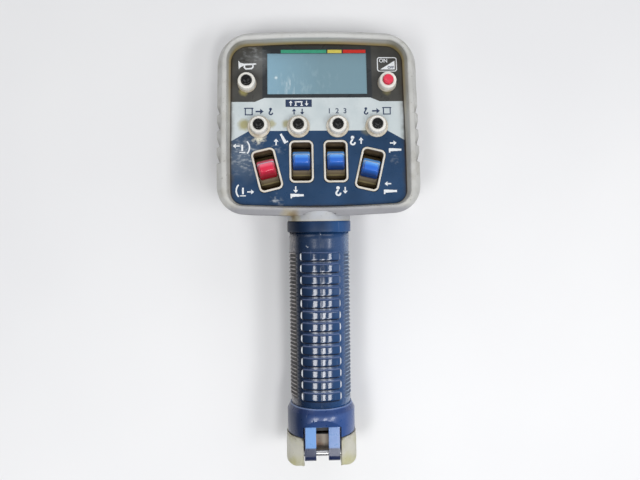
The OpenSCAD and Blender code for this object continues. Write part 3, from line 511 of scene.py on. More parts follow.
def film_look():
    """Printed film in three zones, with scuffs, stains, and grime and painted shade at its edge."""
    look = Look("printed_film")
    v = look.height(Y, PRINTS)
    away_x = look.away(X, PRINTS)
    cloud = look.noise(16)
    dark = look.mix(cloud, rgb(62, 62, 60), rgb(82, 81, 78))
    display = look.spread(away_x, 34.4, 33.6)
    dark = look.mix(look.times(display, 0.75), dark, rgb(40, 46, 52))
    pale = look.mix(cloud, rgb(188, 198, 201), rgb(206, 213, 215))
    navy = look.mix(cloud, rgb(32, 58, 88), rgb(42, 70, 104))
    pale_top = look.spread(away_x, 32.8, 38.6, 16.3, 13.8)
    navy_top = look.spread(away_x, 42.4, 53.0, -4.8, -11.0)
    look.paint(pale)
    look.over(dark, look.calc("GREATER_THAN", v, pale_top))
    look.over(navy, look.calc("LESS_THAN", v, navy_top))
    stains = [
        (-45.4, -0.6, 5.4, 0.85), (-28.4, -0.2, 3.8, 0.7), (-19.6, -0.4, 3.8, 0.75),
        (-45.5, 20.8, 4.2, 0.8), (43.4, 20.2, 3.6, 0.35), (30.0, -5.0, 4.5, 0.3),
    ]
    for x, y, radius, share in stains:
        look.over(rgb(158, 150, 96), look.near(on_print(x, y), radius, 0.3), share)
    crust = look.near(on_print(-36.2, -9.2), 6, 0.6)
    look.over(rgb(226, 223, 205), crust, look.noise(1.1, 0.3, 0.45, 4), 0.95)
    low, high = panel_box("face_plate")
    up = look.height(Y, PANEL)
    rim = look.most(
        look.spread(away_x, high.x - 3, high.x),
        look.spread(up, high.y - 3, high.y),
        look.spread(up, low.y + 1.5, low.y),
    )
    look.over(rgb(74, 66, 48), rim, look.noise(5, 0.35, 0.7, 5), 0.7)
    # Grime and painted shade in a thin line at the edge, under the bumper's wall
    look.over(rgb(48, 36, 26), look.spread(rim, 0.6, 0.95), 0.8)
    look.over(rgb(146, 158, 168), look.near(on_print(-47, -22), 20, 0.3, 1), 0.3)
    look.over(rgb(150, 152, 152), look.near(on_print(-36, 40), 12, 0.3, 1), 0.35)
    scuffs = [(-46, -20, 17, 1), (-40, 44, 13, 0.5), (-24, -15, 7, 1), (-26, -49, 6, 1), (47, -24, 5, 0.5)]
    spots = [look.times(look.near(on_print(x, y), radius, 0.5), share) for x, y, radius, share in scuffs]
    wisps = look.noise(3.2, 0.48, 0.75, 8, (1, 2.0, 1), (0, 0, 0.7))
    look.over(rgb(204, 209, 212), wisps, look.most(*spots), 0.6)
    look.roughen(0.24, 0.4, 6, 6)
    look.set(Specular_IOR_Level=0.3)
    look.texture(0.7, 0.005, 3)
    return look


def lcd_look():
    """Blank display, paler to its left, with a faint grid of pixels."""
    pixel = 0.5
    look = Look("blank_lcd")
    upper = look.spread(look.height(Y, PRINTS), 19, 45)
    look.paint(look.mix(upper, rgb(156, 192, 206), rgb(144, 176, 188)))
    look.over(rgb(174, 212, 232), look.spread(look.height(X, PRINTS), 2, -30, 0, 0.8))
    sockets = {"Vector": look.place, "Scale": 1 / (pixel * MM)}
    grid = look.node("ShaderNodeTexChecker", sockets).outputs["Fac"]
    look.over(rgb(88, 110, 118), grid, 0.05)
    look.set(Roughness=0.4, Specular_IOR_Level=0.2)
    return look


def window_look():
    """Clear window that is scratched and hazy at its lower left."""
    look = Look("display_glass")
    wear_and_light = look.near(on_print(-17, 23), 16, 0.4, 0.9)
    streaks = look.times(wear_and_light, look.noise(1.8, 0.5, 0.72, 4, (1, 0.2, 1), (0, 0, 0.15)))
    wide = look.near(on_print(-4, 24), 25, 0.4, 0.9)
    faint = look.times(wide, look.noise(2.6, 0.52, 0.72, 7, (1, 0.4, 1), (0, 0, 0.3)), 0.3)
    spot = look.near(on_print(-25.5, 29.4), 1.5, 0.2, 0.9)
    dull = look.most(look.times(look.most(streaks, faint), 0.6), spot)
    left = look.spread(look.height(X, PRINTS), 2, -30)
    look.paint(look.mix(left, rgb(139, 171, 184), rgb(154, 192, 211)))
    look.over(rgb(226, 238, 240), dull)
    look.set(Roughness=look.spread(dull, 0, 1, 0.1, 0.3))
    look.set(Alpha=look.spread(dull, 0, 1, 0.6, 0.9), Specular_IOR_Level=0.5)
    return look


def collar_look():
    """Off-white rubber with dirt and painted shade at its foot, and a paler line above the panel."""
    soil = rgb(196, 190, 172)
    look = moulded("collar_rubber", WHITE_RUBBER, 0.4, soil, 0.4, speck=0.2, grain=0.8, depth=0.015)
    rise = look.height(Z, PANEL)
    # Dirt and painted shade at the foot
    foot = look.spread(rise, 3.4, 0.8)
    look.over(rgb(150, 130, 96), foot, look.noise(4, 0.25, 0.6, 4), 0.9)
    look.over(rgb(206, 198, 180), look.band(rise, 0.2, 0.6, 0.9, 1.3))
    return look


def cap_look(name, colour, shine=0.5):
    """Button cap with fine pale specks."""
    look = moulded(name, colour, 0.24, shade(colour, 1.5), 0.25, grain=0.4, depth=0.008, shine=shine)
    look.over(rgb(150, 150, 146), look.noise(1.1, 0.62, 0.74, 4), 0.12)
    return look


def lever_look(name, colour, wear_and_light, dark):
    """Glossy paddle with painted light towards its upper edge, a painted highlight line there, and painted
    shade below.
    """
    look = moulded(name + "_gloss", colour, 0.22, shade(colour, 0.7), 0.3, depth=0.004, gloss=0.4)
    v = look.height(Y, lever_frame(name))
    # Painted light on the upper slope
    look.over(wear_and_light, look.spread(v, 0.6, 2.6), 0.75)
    # Painted shade on the lower slope
    look.over(dark, look.spread(v, -1.3, -3.9), 0.92)
    # Painted highlight line along the upper edge
    edge = look.band(v, 3.1, 3.5, 3.8, 4.2)
    look.over(rgb(214, 228, 244), edge, 0.85)
    look.over(shade(colour, 2.0), look.noise(2.4, 0.64, 0.76, 6), 0.16)
    return look


def drum_look(name):
    """Soiled skirt of a lever, darker towards its lower end, with a painted highlight line and a painted
    shadow line across each end.
    """
    look = moulded(name + "_skirt", rgb(112, 95, 62), 0.5, rgb(70, 60, 42), 0.6, speck=0.2)
    at = lever_frame(name)
    v = look.height(Y, at)
    look.over(rgb(70, 58, 36), look.spread(v, -2, -7), 0.6)
    # Painted highlight and painted shadow lines where a ridge would catch light and cast shade
    bend = look.calc("ABSOLUTE", look.calc("ARCTAN2", v, look.height(Z, at)))
    line = look.band(bend, 0.66, 0.7, 0.74, 0.78)
    look.over(rgb(136, 126, 84), line, 0.6)
    shadow = look.band(bend, 0.76, 0.79, 0.82, 0.86)
    look.over(rgb(46, 38, 26), shadow, 0.6)
    return look


def bezel_look():
    """Rim of a lever window, with painted shade on its lowest part, where it meets the panel and down into
    the window.
    """
    look = moulded("bezel_rim", rgb(220, 214, 203), 0.45, rgb(176, 160, 122), 0.45, speck=0.3)
    # Painted shade below the panel's surface
    look.over(rgb(84, 70, 54), look.spread(look.height(Z, PANEL), 0.45, 0.2))
    return look


def handle_look(name, colour, rough=0.16, pale=2.5, gloss=0.2, shine=0.5):
    """Glossy blue plastic with clouded wear and light scratches, painted shade on its left side and a
    painted sheen on its right.
    """
    soil = shade(colour, 1.5)
    look = moulded(name, colour, rough, soil, 0.3, grain=1.6, depth=0.0012, gloss=gloss, shine=shine)
    x = look.height(X)
    # Painted shade on the left side
    look.over(shade(colour, 0.22), look.spread(x, -5, -13), 0.8)
    # Painted sheen on the right side, lightened by pale
    look.over(shade(colour, pale), look.spread(x, 2, 13), 0.8)
    hairs = look.noise(1.6, 0.7, 0.74, 2, (1, 0.08, 1), (0, 0, 0.25))
    look.over(rgb(150, 160, 178), hairs, 0.2)
    return look


def grip_look():
    """Blue grip with polished pads that have painted highlights at their ends and edges, and ribs with dust,
    a painted sheen and painted shade in their grooves.
    """
    look = handle_look("grip_plastic", NAVY)
    x = look.height(X)
    y = look.height(Y)
    away_x = look.away(X)
    right = look.spread(x, -1, 1)
    rise = look.calc("SUBTRACT", look.height(Z), HANDLE_Z)
    radius = look.calc("SQRT", look.calc("ADD", look.times(x, x), look.times(rise, rise)))
    raised = look.spread(radius, GRIP_R + 0.1, GRIP_R + PAD_RISE - 0.1)

    down = look.calc("MODULO", look.calc("SUBTRACT", pad_top_y + 1, y), PAD_PITCH)
    row = look.band(y, pad_low_y - 1.2, pad_low_y - 0.9, pad_top_y, pad_top_y + 1)
    padded = look.times(look.spread(away_x, 11.4, 10.6), row)
    # Painted light on the upper edge of each pad
    above = look.band(down, 0.3, 0.6, 0.9, 1.2)
    look.over(rgb(132, 148, 196), above, padded, 0.35)
    # Painted shade under the lower edge of each pad
    below = look.band(down, PAD_LEN + 0.5, PAD_LEN + 0.8, PAD_LEN + 1.5, PAD_LEN + 1.9)
    look.over(rgb(8, 13, 32), below, padded, 0.85)
    # Painted highlights on the ends of the pads, mostly on the left and on the lower pads
    ends = look.times(look.band(away_x, 11.3, 11.6, 12.8, 13.2), look.spread(raised, 0.1, 0.3))
    shown = look.most(look.spread(x, 1, -1), look.spread(y, -100, -120, 0.1, 0.75))
    look.over(rgb(236, 239, 244), ends, shown)

    ribbed = look.band(y, rib_low_y, rib_low_y + 0.3, pad_top_y - 0.3, pad_top_y + 0.3)
    dust = look.times(look.spread(away_x, 14.2, 15.6), look.noise(3, 0.2, 0.6, 4))
    # Dust on the ribs, bluer on the right where a painted sheen is mixed in
    dust_and_sheen = look.mix(right, rgb(168, 160, 157), rgb(132, 156, 184))
    look.over(dust_and_sheen, dust, look.spread(ribbed, 0, 1, 0.4, 1), 0.9)
    deep = look.spread(radius, GRIP_R + RIB_RISE - 0.05, GRIP_R + 0.1)
    groove = look.times(deep, ribbed, look.spread(away_x, 14.4, 14.9))
    shaded = look.mix(right, rgb(14, 13, 15), rgb(56, 74, 104))
    look.over(shaded, groove, 0.85)

    chips = [(-6.7, -126.6, 0.6), (-7.4, -76.4, 0.5), (-8.3, -75.8, 0.4), (0.4, -68.8, 0.35)]
    for chip_x, chip_y, size in chips:
        chip_r = GRIP_R + (PAD_RISE if chip_y < pad_top_y else 0)
        chip_z = HANDLE_Z + math.sqrt(chip_r**2 - chip_x**2)
        look.over(rgb(222, 226, 232), look.near((chip_x, chip_y, chip_z), size))
    polish = look.times(look.rough, look.spread(raised, 0, 1, 1.6, 0.7))
    look.set(Roughness=look.most(polish, look.times(groove, 0.9)))
    return look


def end_look():
    """Blue end collar with painted light on the prongs' flat faces, painted shade on their tips and on its
    sloping top, and a painted highlight on its top rim.
    """
    look = handle_look("end_plastic", rgb(36, 66, 120), 0.3, 1.4)
    x = look.height(X)
    y = look.height(Y)
    top = box_mm("end_collar")[1].y
    face = look.times(
        look.band(y, hinge.y + 3.6, hinge.y + 4.6, hinge.y + 16.6, hinge.y + 17.4),
        look.spread(look.height(Z), hinge.z + 3.5, hinge.z + 3.8),
        look.spread(look.away(X), 10.4, 10.1),
    )
    # Painted light on the prongs' flat faces, stronger on the left prong
    painted_face_light = look.mix(look.spread(x, -1, 1), rgb(94, 146, 208), rgb(68, 114, 176))
    look.over(painted_face_light, face, 0.9)
    # Painted shade on the prongs' rounded tips
    tip_shade = look.spread(y, hinge.y + 4.4, hinge.y + 3.4)
    look.over(rgb(14, 26, 62), tip_shade, 0.9)
    # Painted shade on the sloping top
    look.over(rgb(22, 40, 88), look.band(y, top - 4, top - 3, top - 1, top - 0.7), 0.4)
    # Painted highlight on the top rim
    look.over(rgb(140, 162, 206), look.spread(y, top - 0.7, top - 0.4), 0.5)
    return look


def end_cap_look():
    """Off-white rubber of the battery cap, dirty at its rim and yellowed at its end."""
    soil = rgb(176, 172, 122)
    look = moulded("cap_rubber", rgb(192, 190, 178), 0.5, soil, 0.7, speck=0.35, grain=0.8, depth=0.03)
    y = look.height(Y)
    low, high = box_mm("battery_cap")
    look.over(rgb(104, 94, 72), look.spread(y, high.y - 3, high.y), look.noise(3, 0.35, 0.6, 4), 0.6)
    look.over(rgb(182, 178, 122), look.spread(y, low.y + 9, low.y), look.noise(6, 0.25, 0.6, 4), 0.7)
    return look


def neck_look():
    """Grey sleeve with a stain at its upper left."""
    soil = rgb(168, 162, 146)
    look = moulded("neck_plastic", rgb(174, 177, 183), 0.42, soil, 0.35, speck=0.35, grain=0.6, depth=0.015)
    foot = look.spread(look.height(Y), ring_high.y + 1.6, ring_high.y + 0.3)
    look.over(rgb(186, 180, 156), foot, 0.3)
    look.over(rgb(168, 156, 96), look.near((-15, -58, 40), 8, 0.4, 0.9), 0.6)
    look.over(RUST_BROWN, look.near((-15.6, -57.6, 39), 6, 0.5, 0.9), 0.85)
    return look


def steel_look():
    """Drawn steel with a little rust."""
    look = Look("bright_steel")
    look.paint(rgb(200, 200, 202))
    look.over(rgb(112, 78, 52), look.noise(2, 0.55, 0.75, 6), 0.25)
    look.set(Metallic=1.0)
    look.roughen(0.2, 0.42, 0.8, 4, DRAWN)
    look.texture(0.3, 0.004, 3, DRAWN)
    return look


def metal_look(name, colour, rough):
    """Plain clouded metal."""
    look = Look(name)
    look.paint(look.mix(look.noise(3), shade(colour, 0.8), colour))
    look.set(Metallic=1.0)
    look.roughen(rough - 0.06, rough + 0.08, 1)
    return look


def ink_look(name, colour):
    """Printed ink, worn in places."""
    look = Look(name)
    look.paint(look.mix(look.noise(1.6, 0.5, 0.8, 6), colour, shade(colour, 0.72)))
    look.set(Roughness=0.4, Specular_IOR_Level=0.3)
    return look


RUBBER = bumper_look()
COLLAR = collar_look()
BLACK_CAP = cap_look("cap_black", rgb(12, 12, 13), 0.4)
RED_CAP = cap_look("cap_red", rgb(222, 56, 82))
# Paddle colours: base, painted light for the upper slope, painted shade for the lower slope
BLUE = (rgb(46, 110, 212), rgb(108, 178, 246), rgb(12, 42, 92))
RED = (rgb(216, 42, 74), rgb(246, 122, 144), rgb(126, 16, 28))
BEZEL = bezel_look()
GRIP = grip_look()
COLLAR_BLUE = handle_look("collar_plastic", NAVY, 0.4, 3.2, 0.0, 0.22)
END_CAP = end_cap_look()
STEEL = steel_look()
PRINT_WHITE = ink_look("ink_white", rgb(228, 231, 234))
PRINT_NAVY = ink_look("ink_navy", rgb(46, 60, 88))

# Materials of the CAD nodes that keep their shape


def dress(look, *names):
    """Gives CAD nodes a material."""
    for name in names:
        NODES[name].data.materials.clear()
        NODES[name].data.materials.append(look.material)


dress(film_look(), "face_plate")
dress(lcd_look(), "display_module")
dress(window_look(), "display_window")
dress(neck_look(), "neck_sleeve")
dress(end_look(), "end_collar")
dress(END_CAP, "battery_cap")
dress(COLLAR_BLUE, "speed_trigger")
dress(STEEL, "hinge_pin", "trigger_pin", "lever_pins", "case_screws", "board_screws")
dress(metal_look("shield_tin", rgb(186, 188, 190), 0.4), "radio_module", "neck_nut")
brass = metal_look("contact_brass", rgb(206, 172, 96), 0.35)
dress(brass, "antenna", "battery_contacts", "cap_contact")
soil = rgb(128, 122, 104)
back = moulded("back_plastic", rgb(164, 165, 163), 0.48, soil, 0.45, speck=0.3, grain=0.9, depth=0.05)
dress(back, "rear_cover")
liner = moulded("liner_grey", rgb(176, 164, 148), 0.55, rgb(166, 104, 56), 0.9, speck=0.4)
dress(liner, "cap_liner")
black_nodes = ["button_switches", "buzzer", "lever_switches", "trigger_sensor", "battery_holder"]
plain_parts = [
    ("case_plastic", (92, 93, 94), 0.5, (70, 66, 58), 0.3, ["front_case"]),
    ("black_plastic", (34, 34, 36), 0.5, (70, 66, 58), 0.3, black_nodes),
    ("housing_plastic", (128, 110, 84), 0.5, (84, 70, 50), 0.5, ["lever_housings"]),
    ("seal_rubber", (30, 30, 30), 0.6, (62, 60, 54), 0.3, ["case_gasket", "cap_seal"]),
    ("board_green", (30, 96, 54), 0.4, (60, 120, 80), 0.3, ["control_board"]),
    ("lead_red", (150, 34, 30), 0.45, (90, 30, 26), 0.3, ["wiring"]),
    ("cell_sleeve", (196, 128, 40), 0.35, (120, 80, 30), 0.3, ["battery_cells"]),
]
for name, colour, rough, soil, soiled, nodes in plain_parts:
    dress(moulded(name, rgb(*colour), rough, rgb(*soil), soiled), *nodes)
for name in LEVERS:
    dress(drum_look(name), name + "_drum")


def soften(node, width):
    """Rounds the edges of a CAD node with modifiers alone."""
    thing = NODES[node]
    weld = thing.modifiers.new("weld", "WELD")
    weld.merge_threshold = 0.002 * MM
    flat = thing.modifiers.new("flat", "DECIMATE")
    flat.decimate_type = "DISSOLVE"
    flat.angle_limit = math.radians(0.5)
    bevel = thing.modifiers.new("edge", "BEVEL")
    bevel.width = width * MM
    bevel.segments = 3
    bevel.angle_limit = math.radians(38)
    bevel.harden_normals = True


for node, width in (("end_collar", 0.3), ("battery_cap", 0.5), ("speed_trigger", 0.5)):
    soften(node, width)

# Bumper

TOP_R = 21
LOW_R = 17
CORNER_LOSS = 0.65
CORNER_LEAST = 2
EDGE_BOW = 2.6
EDGE_R = 650
SIDE_BOW = 0.4
SIDE_R = 400
WAIST = 0.35
LIP_SIDE = 8.1
LIP_ABOVE = 7.8
LIP_BELOW = 5.6
LIP_TOP = 9.5
LIP_LOW = 4.5
SHOULDER_IN = 3.5
INNER_SIDE = 3.6
INNER_BELOW = 2.4
SHOULDER_RISE = 2
NECK_GAP = 0.15
NECK_NEAR, NECK_FAR = 0.4, 1.7
BACK_Z = box_mm("bumper")[0].z
SIDE_LOW, SIDE_HIGH = -37.5, 33.0
SIDE_STEPS = 24
NOTCH_CLOSED = 1.13
NOTCH_END = 1.15
notch_steps = (0.3, 0.36, 0.6, 0.8, 0.93, 1.0, 1.03, 1.07, 1.11, NOTCH_END)
side_stations = sorted(
    [SIDE_LOW + (SIDE_HIGH - SIDE_LOW) * i / SIDE_STEPS for i in range(SIDE_STEPS + 1)]
    + [start - NOTCH_LEN * share for start in notch_starts for share in notch_steps]
)


def along_line(points, count):
    """Evenly spaced points along a polyline."""
    lengths = [(two - one).length for one, two in zip(points, points[1:])]
    total = sum(lengths)
    spaced = []
    for i in range(count):
        left, k = total * i / (count - 1), 0
        while k < len(lengths) - 1 and left > lengths[k]:
            left -= lengths[k]
            k += 1
        spaced.append(points[k].lerp(points[k + 1], min(left / lengths[k], 1)))
    return spaced


def across_at(points, y):
    """Place where a rising polyline passes a height."""
    for one, two in zip(points, points[1:]):
        if one.y <= y <= two.y:
            return Vector((lerp(one.x, two.x, (y - one.y) / (two.y - one.y)), y))
    return Vector((points[-1].x, y))


def head_outline(side, above, below):
    """Outline of the head, drawn in, always with equally many points."""
    x, top, low = HEAD_W / 2 - side, HEAD_H / 2 - above, -HEAD_H / 2 + below
    top_r = max(TOP_R - CORNER_LOSS * (side + above), CORNER_LEAST)
    low_r = max(LOW_R - CORNER_LOSS * (side + below), CORNER_LEAST)
    low_middle, low_corner = (0, low), (x - SIDE_BOW, low + EDGE_BOW)
    waist, top_corner, top_middle = (x, low * WAIST), (x - SIDE_BOW, top - EDGE_BOW), (0, top)
    mirrored = [(-low_corner[0], low_corner[1]), (-top_corner[0], top_corner[1])]
    low_edge = corner_arc(mirrored[0], low_middle, low_corner, EDGE_R, 16)[8:]
    low_arc = corner_arc(low_middle, low_corner, waist, low_r, 14)
    side_arc = corner_arc(low_corner, waist, top_corner, SIDE_R, 8)
    top_arc = corner_arc(waist, top_corner, top_middle, top_r, 18)
    top_edge = corner_arc(top_corner, top_middle, mirrored[1], EDGE_R, 16)[:9]
    side_line = [low_arc[-1], *side_arc, top_arc[0]]
    half = along_line(low_edge + low_arc[:1], 34)[:-1] + low_arc
    half += [across_at(side_line, y) for y in side_stations]
    half += top_arc + along_line(top_arc[-1:] + top_edge, 24)[1:]
    return half + [Vector((-p.x, p.y)) for p in half[-2:0:-1]]


def panel_z(y, rise=0):
    """Height of the panel, or of a plane above it, at a station."""
    return LIFT - y * math.tan(TILT) + rise / math.cos(TILT)


def lip_z(y):
    """Height of the lip's top, which slopes against the panel."""
    share = y / math.cos(TILT) / HEAD_H
    return panel_z(y, (LIP_TOP + LIP_LOW) / 2 + (LIP_TOP - LIP_LOW) * share)


def notch_limit(y):
    """Half width that the finger notches leave at a station."""
    limit = HEAD_W
    for start in notch_starts:
        share = (start - y) / NOTCH_LEN
        depth = (NOTCH_DEPTH + 1) * min(share, 1) - 1
        if 0 < share < NOTCH_END:
            limit = min(limit, HEAD_W / 2 - depth * (1 - smooth(share, 1.0, NOTCH_CLOSED)))
    return limit


def bumper_point(point, inward, level):
    """Point of the bumper at a level: 0 to 1 outer wall, 1 to 2 shoulder, 2 to 3 inner wall."""
    x, y = point
    if inward < SHOULDER_IN:
        x = math.copysign(min(abs(x), notch_limit(y)), x)
    shoulder = panel_z(y, SHOULDER_RISE)
    if level <= 1:
        z = lerp(BACK_Z, shoulder, level)
    elif level <= 2:
        z = lerp(shoulder, lip_z(y), level - 1)
    else:
        z = lerp(lip_z(y), panel_z(y), level - 2)
    hole = NECK_R + NECK_GAP
    half = math.sqrt(max(hole * hole - (HANDLE_Z - z) ** 2, 0))
    if y < CASE_LOW_Y and half > 0:
        y = lerp(y, CASE_LOW_Y, 1 - smooth(abs(x), half - NECK_NEAR, half + NECK_FAR))
    return Vector((x, y, z))


def drawn_in(inward, lip):
    """Way in from the head's outline on a side where the lip is so wide."""
    rest = max(inward - SHOULDER_IN, 0) / (LIP_SIDE - SHOULDER_IN)
    return min(inward, SHOULDER_IN) + (lip - SHOULDER_IN) * rest


def bumper_shape():
    """Rings from the back, up the outside, over the lip and down to the panel."""
    # Way in and level of each ring
    wall = [(0, 0.05 + 0.9 * i / 18) for i in range(19)]
    profile = [(1.0, 0), (0.45, 0.004), (0.12, 0.012), (0, 0.026), *wall, (0.03, 0.975), (0.12, 0.995)]
    profile += [(0.35, 1.04), (0.7, 1.14), (1.4, 1.36), (2.2, 1.61), (2.85, 1.8), (3.25, 1.9), (3.6, 1.955)]
    profile += [(3.95, 1.985), (4.3, 1.998), (4.6, 2.0), (5.2, 2.0), (5.6, 2.004), (5.9, 2.015)]
    profile += [(6.15, 2.045), (6.4, 2.1), (6.6, 2.18), (7.0, 2.4), (7.4, 2.62), (7.75, 2.82), (7.95, 2.94)]
    profile += [(8.1, 3.0), (8.1, 3.12), (4.5, 3.15)]
    rings = []
    for inward, level in profile:
        outline = head_outline(*(drawn_in(inward, lip) for lip in (LIP_SIDE, LIP_ABOVE, LIP_BELOW)))
        rings.append([bumper_point(p, inward, level) for p in outline])
    inner = [bumper_point(p, SHOULDER_IN, 0) for p in head_outline(INNER_SIDE, INNER_SIDE, INNER_BELOW)]
    return loft([*rings, inner], looped=True)


piece("bumper_shell", bumper_shape(), RUBBER, "housing", "bumper", 50)

# Buttons and their collars

COLLAR_BORE = 3.25
COLLAR_TOP = 5.25
COLLAR_BRIM = 1.1
BUTTON_R = 3.1
BUTTON_FLANGE = 0.85
FLANGE_T = 1.2


def collar_profile(foot, rise, low):
    """Profile of a rubber collar from its bore round to its bore."""
    bore, top = COLLAR_BORE, COLLAR_TOP
    brim = max(foot - COLLAR_BRIM, top + 0.5)
    corners = [
        (bore, low), (bore + 1, low), (bore + 1, 0), (foot, 0), (foot, COLLAR_BRIM, 0.45), (brim, 1.2, 0.3),
        (top + 0.3, 1.6, 0.4), (top, rise, 0.95), (bore + 0.1, rise, 0.5), (bore, rise - 1.2),
    ]
    return rounded(corners, 5)


def button_profile(rise, low):
    """Profile of a button cap with a shallow dish."""
    radius, flange = BUTTON_R, BUTTON_R + BUTTON_FLANGE
    corners = [
        (0, low), (flange, low), (flange, low + FLANGE_T), (radius, low + FLANGE_T), (radius, rise, 0.75),
        (0.62 * radius, rise - 0.05, 1.0), (0.3 * radius, rise - 0.35, 0.5), (0, rise - 0.4),
    ]
    return rounded(corners, 5, closed=False)


for name in BUTTONS:
    collar, button = name + "_collar", name + "_button"
    spot = spot_frame(*panel_middle(collar))
    low, high = panel_box(collar)
    profile = collar_profile((high.x - low.x) / 2, high.z, low.z)
    shape = placed(lathe(profile, 72, looped=True), spot)
    piece(name + "_sleeve", shape, COLLAR, "housing", collar, 60)
    low, high = panel_box(button)
    shape = placed(lathe(button_profile(high.z, low.z), 48), spot)
    piece(name + "_cap", shape, RED_CAP if name == "power" else BLACK_CAP, button, button, 60)

# Levers

PADDLE_W = 10.7
PADDLE_L = 11.3
PADDLE_R = 1.1
PADDLE_SHIFT = 0.6
STEM_W = 5
STEM_L = 4
STEM_LOW = 6.5
STEM_EDGE = 0.1
WINDOW_W = 11.9
WINDOW_H = 23.6
BEZEL_RIM = 1.5
BEZEL_R = 3.4


def paddle_shape(depth, rise):
    """Rounded paddle with a flat top and sloping sides, on its stem."""
    # Share of the width, share of the length and height of each ring
    steps = [(0.955, 0.955, -4.2), (1, 1, -3.4), (1, 1, -0.4), (0.99, 0.98, 0.1), (0.965, 0.93, 0.6)]
    steps += [(0.87, 0.72, 0.5 * rise), (0.785, 0.52, 0.83 * rise), (0.755, 0.455, 0.93 * rise)]
    steps += [(0.72, 0.4, 0.983 * rise), (0.66, 0.33, rise), (0.3, 0.15, rise + 0.04)]
    rings = []
    for wide, far, z in steps:
        rings.append(lift(rounded_rect(PADDLE_W * wide, PADDLE_L * far, PADDLE_R, 5), depth + z))
    paddle = placed(loft(rings), Matrix.Translation((0, PADDLE_SHIFT, 0)))
    outline, top = rounded_rect(STEM_W, STEM_L, 0.3), depth - 3
    chamfered = inset(outline, STEM_EDGE)
    stem = [lift(chamfered, STEM_LOW), lift(outline, STEM_LOW + STEM_EDGE)]
    stem += [lift(outline, top - STEM_EDGE), lift(chamfered, top)]
    return joined(paddle, loft(stem))


def bezel_shape(depth, low, rise):
    """Rim of a lever window with a rounded top."""
    # Way in and drop of each ring of the rounded top
    top = [(0, 0.5), (0.08, 0.25), (0.25, 0.06), (0.5, 0), (0.95, 0), (1.12, 0.08), (1.22, 0.3), (1.27, 0.7)]
    profile = [(0, low), *((d, rise - drop) for d, drop in top), (BEZEL_RIM, rise - 1), (BEZEL_RIM, low)]
    width, height = WINDOW_W + 2 * BEZEL_RIM, WINDOW_H + 2 * BEZEL_RIM
    rings = [
        lift(rounded_rect(width - 2 * d, height - 2 * d, BEZEL_R - d, 8), depth + z) for d, z in profile
    ]
    return loft(rings, looped=True)


for name in LEVERS:
    lever, bezel = name + "_lever", name + "_bezel"
    at = lever_frame(name)
    depth = -(TO_PANEL @ at.translation).z
    look = lever_look(name, *(RED if name == "swing" else BLUE))
    shape = placed(paddle_shape(depth, panel_box(lever)[1].z), at)
    piece(name + "_paddle", shape, look, lever, lever, 50)
    low, high = panel_box(bezel)
    shape = placed(bezel_shape(depth, low.z, high.z), at)
    piece(name + "_rim", shape, BEZEL, "housing", bezel, 50)

# Handle

RING_BORE = 16.4
RING_EDGE = 0.7
SEAM_DEEP = 0.06
SLOT_BELOW, SLOT_ABOVE = 2, 0.6
PLAIN_STATIONS = (0, 4, 8)
PAD_RAMP = (-0.45, -0.25, -0.1, 0.1, 0.25, 0.45)
PAD_SIDE = (-PAD_CORNER, -1.2, -0.7, -0.4, -0.2, 0, 0.2, PAD_EDGE, 0.6)
grip_low_y = box_mm("handle_grip")[0].y
trigger_low, trigger_high = box_mm("speed_trigger")
slot_low_y = trigger_low.y - SLOT_BELOW
slot_top_y = trigger_high.y + SLOT_ABOVE


def pad_height(angle, y):
    """Share of a pad's height at a place: rounded rectangles in a row on the front."""
    first_y = pad_top_y - PAD_LEN / 2
    index = min(max(round((first_y - y) / PAD_PITCH), 0), PAD_COUNT - 1)
    off_y = abs(y - (first_y - index * PAD_PITCH)) - PAD_LEN / 2 + PAD_CORNER
    off_x = abs(angle - FRONT) * GRIP_R - PAD_HALF * GRIP_R + PAD_CORNER
    away = math.hypot(max(off_x, 0), max(off_y, 0)) + min(max(off_x, off_y), 0) - PAD_CORNER
    return 1 - smooth(away, -PAD_EDGE, PAD_EDGE)


def rib_height(angle, y):
    """Height of the ribs and the grooves between them at a place: fine rings on both sides."""
    mirrored = math.pi - angle if math.cos(angle) < 0 else angle
    turned_by = math.atan2(math.sin(mirrored - RIB_MIDDLE), math.cos(mirrored - RIB_MIDDLE))
    fade = 1 - smooth(abs(turned_by), RIB_HALF - 0.05, RIB_HALF)
    down = pad_top_y - y
    if not 0 < down < RIB_COUNT * RIB_PITCH:
        return 0
    place = down % RIB_PITCH
    share = smooth(place, 0, RIB_RAMP) * (1 - smooth(place, RIB_WIDTH - RIB_RAMP, RIB_WIDTH))
    return fade * lerp(-RIB_DEEP, RIB_RISE, share)


def grip_stations():
    """Places along the handle that the edges of pads, ribs and slot need."""
    stations = {grip_low_y, slot_low_y, slot_top_y, *(grip_top_y - d for d in PLAIN_STATIONS)}
    for i in range(PAD_COUNT):
        high = pad_top_y - i * PAD_PITCH
        stations |= {high + d for d in PAD_RAMP} | {high - PAD_LEN + d for d in PAD_RAMP}
        stations |= {high - PAD_LEN * share for share in (0.25, 0.5, 0.75)}
    for i in range(RIB_COUNT):
        high = pad_top_y - i * RIB_PITCH
        for d in (0, RIB_RAMP / 2, RIB_RAMP):
            stations |= {high - d, high - RIB_WIDTH + d}
    return sorted(stations)


def grip_angles():
    """Angles round the handle that the sides of the pads, the seam and the slot need."""
    angles = {math.radians(a) for a in range(0, 360, 4)} | {BACK - SLOT_HALF, BACK + SLOT_HALF}
    for side in (-1, 1):
        angles |= {FRONT + side * (PAD_HALF + d / GRIP_R) for d in PAD_SIDE}
        angles |= {FRONT + side * d / GRIP_R for d in (0, 0.12, 0.25, 0.4)}
    return sorted(angles)


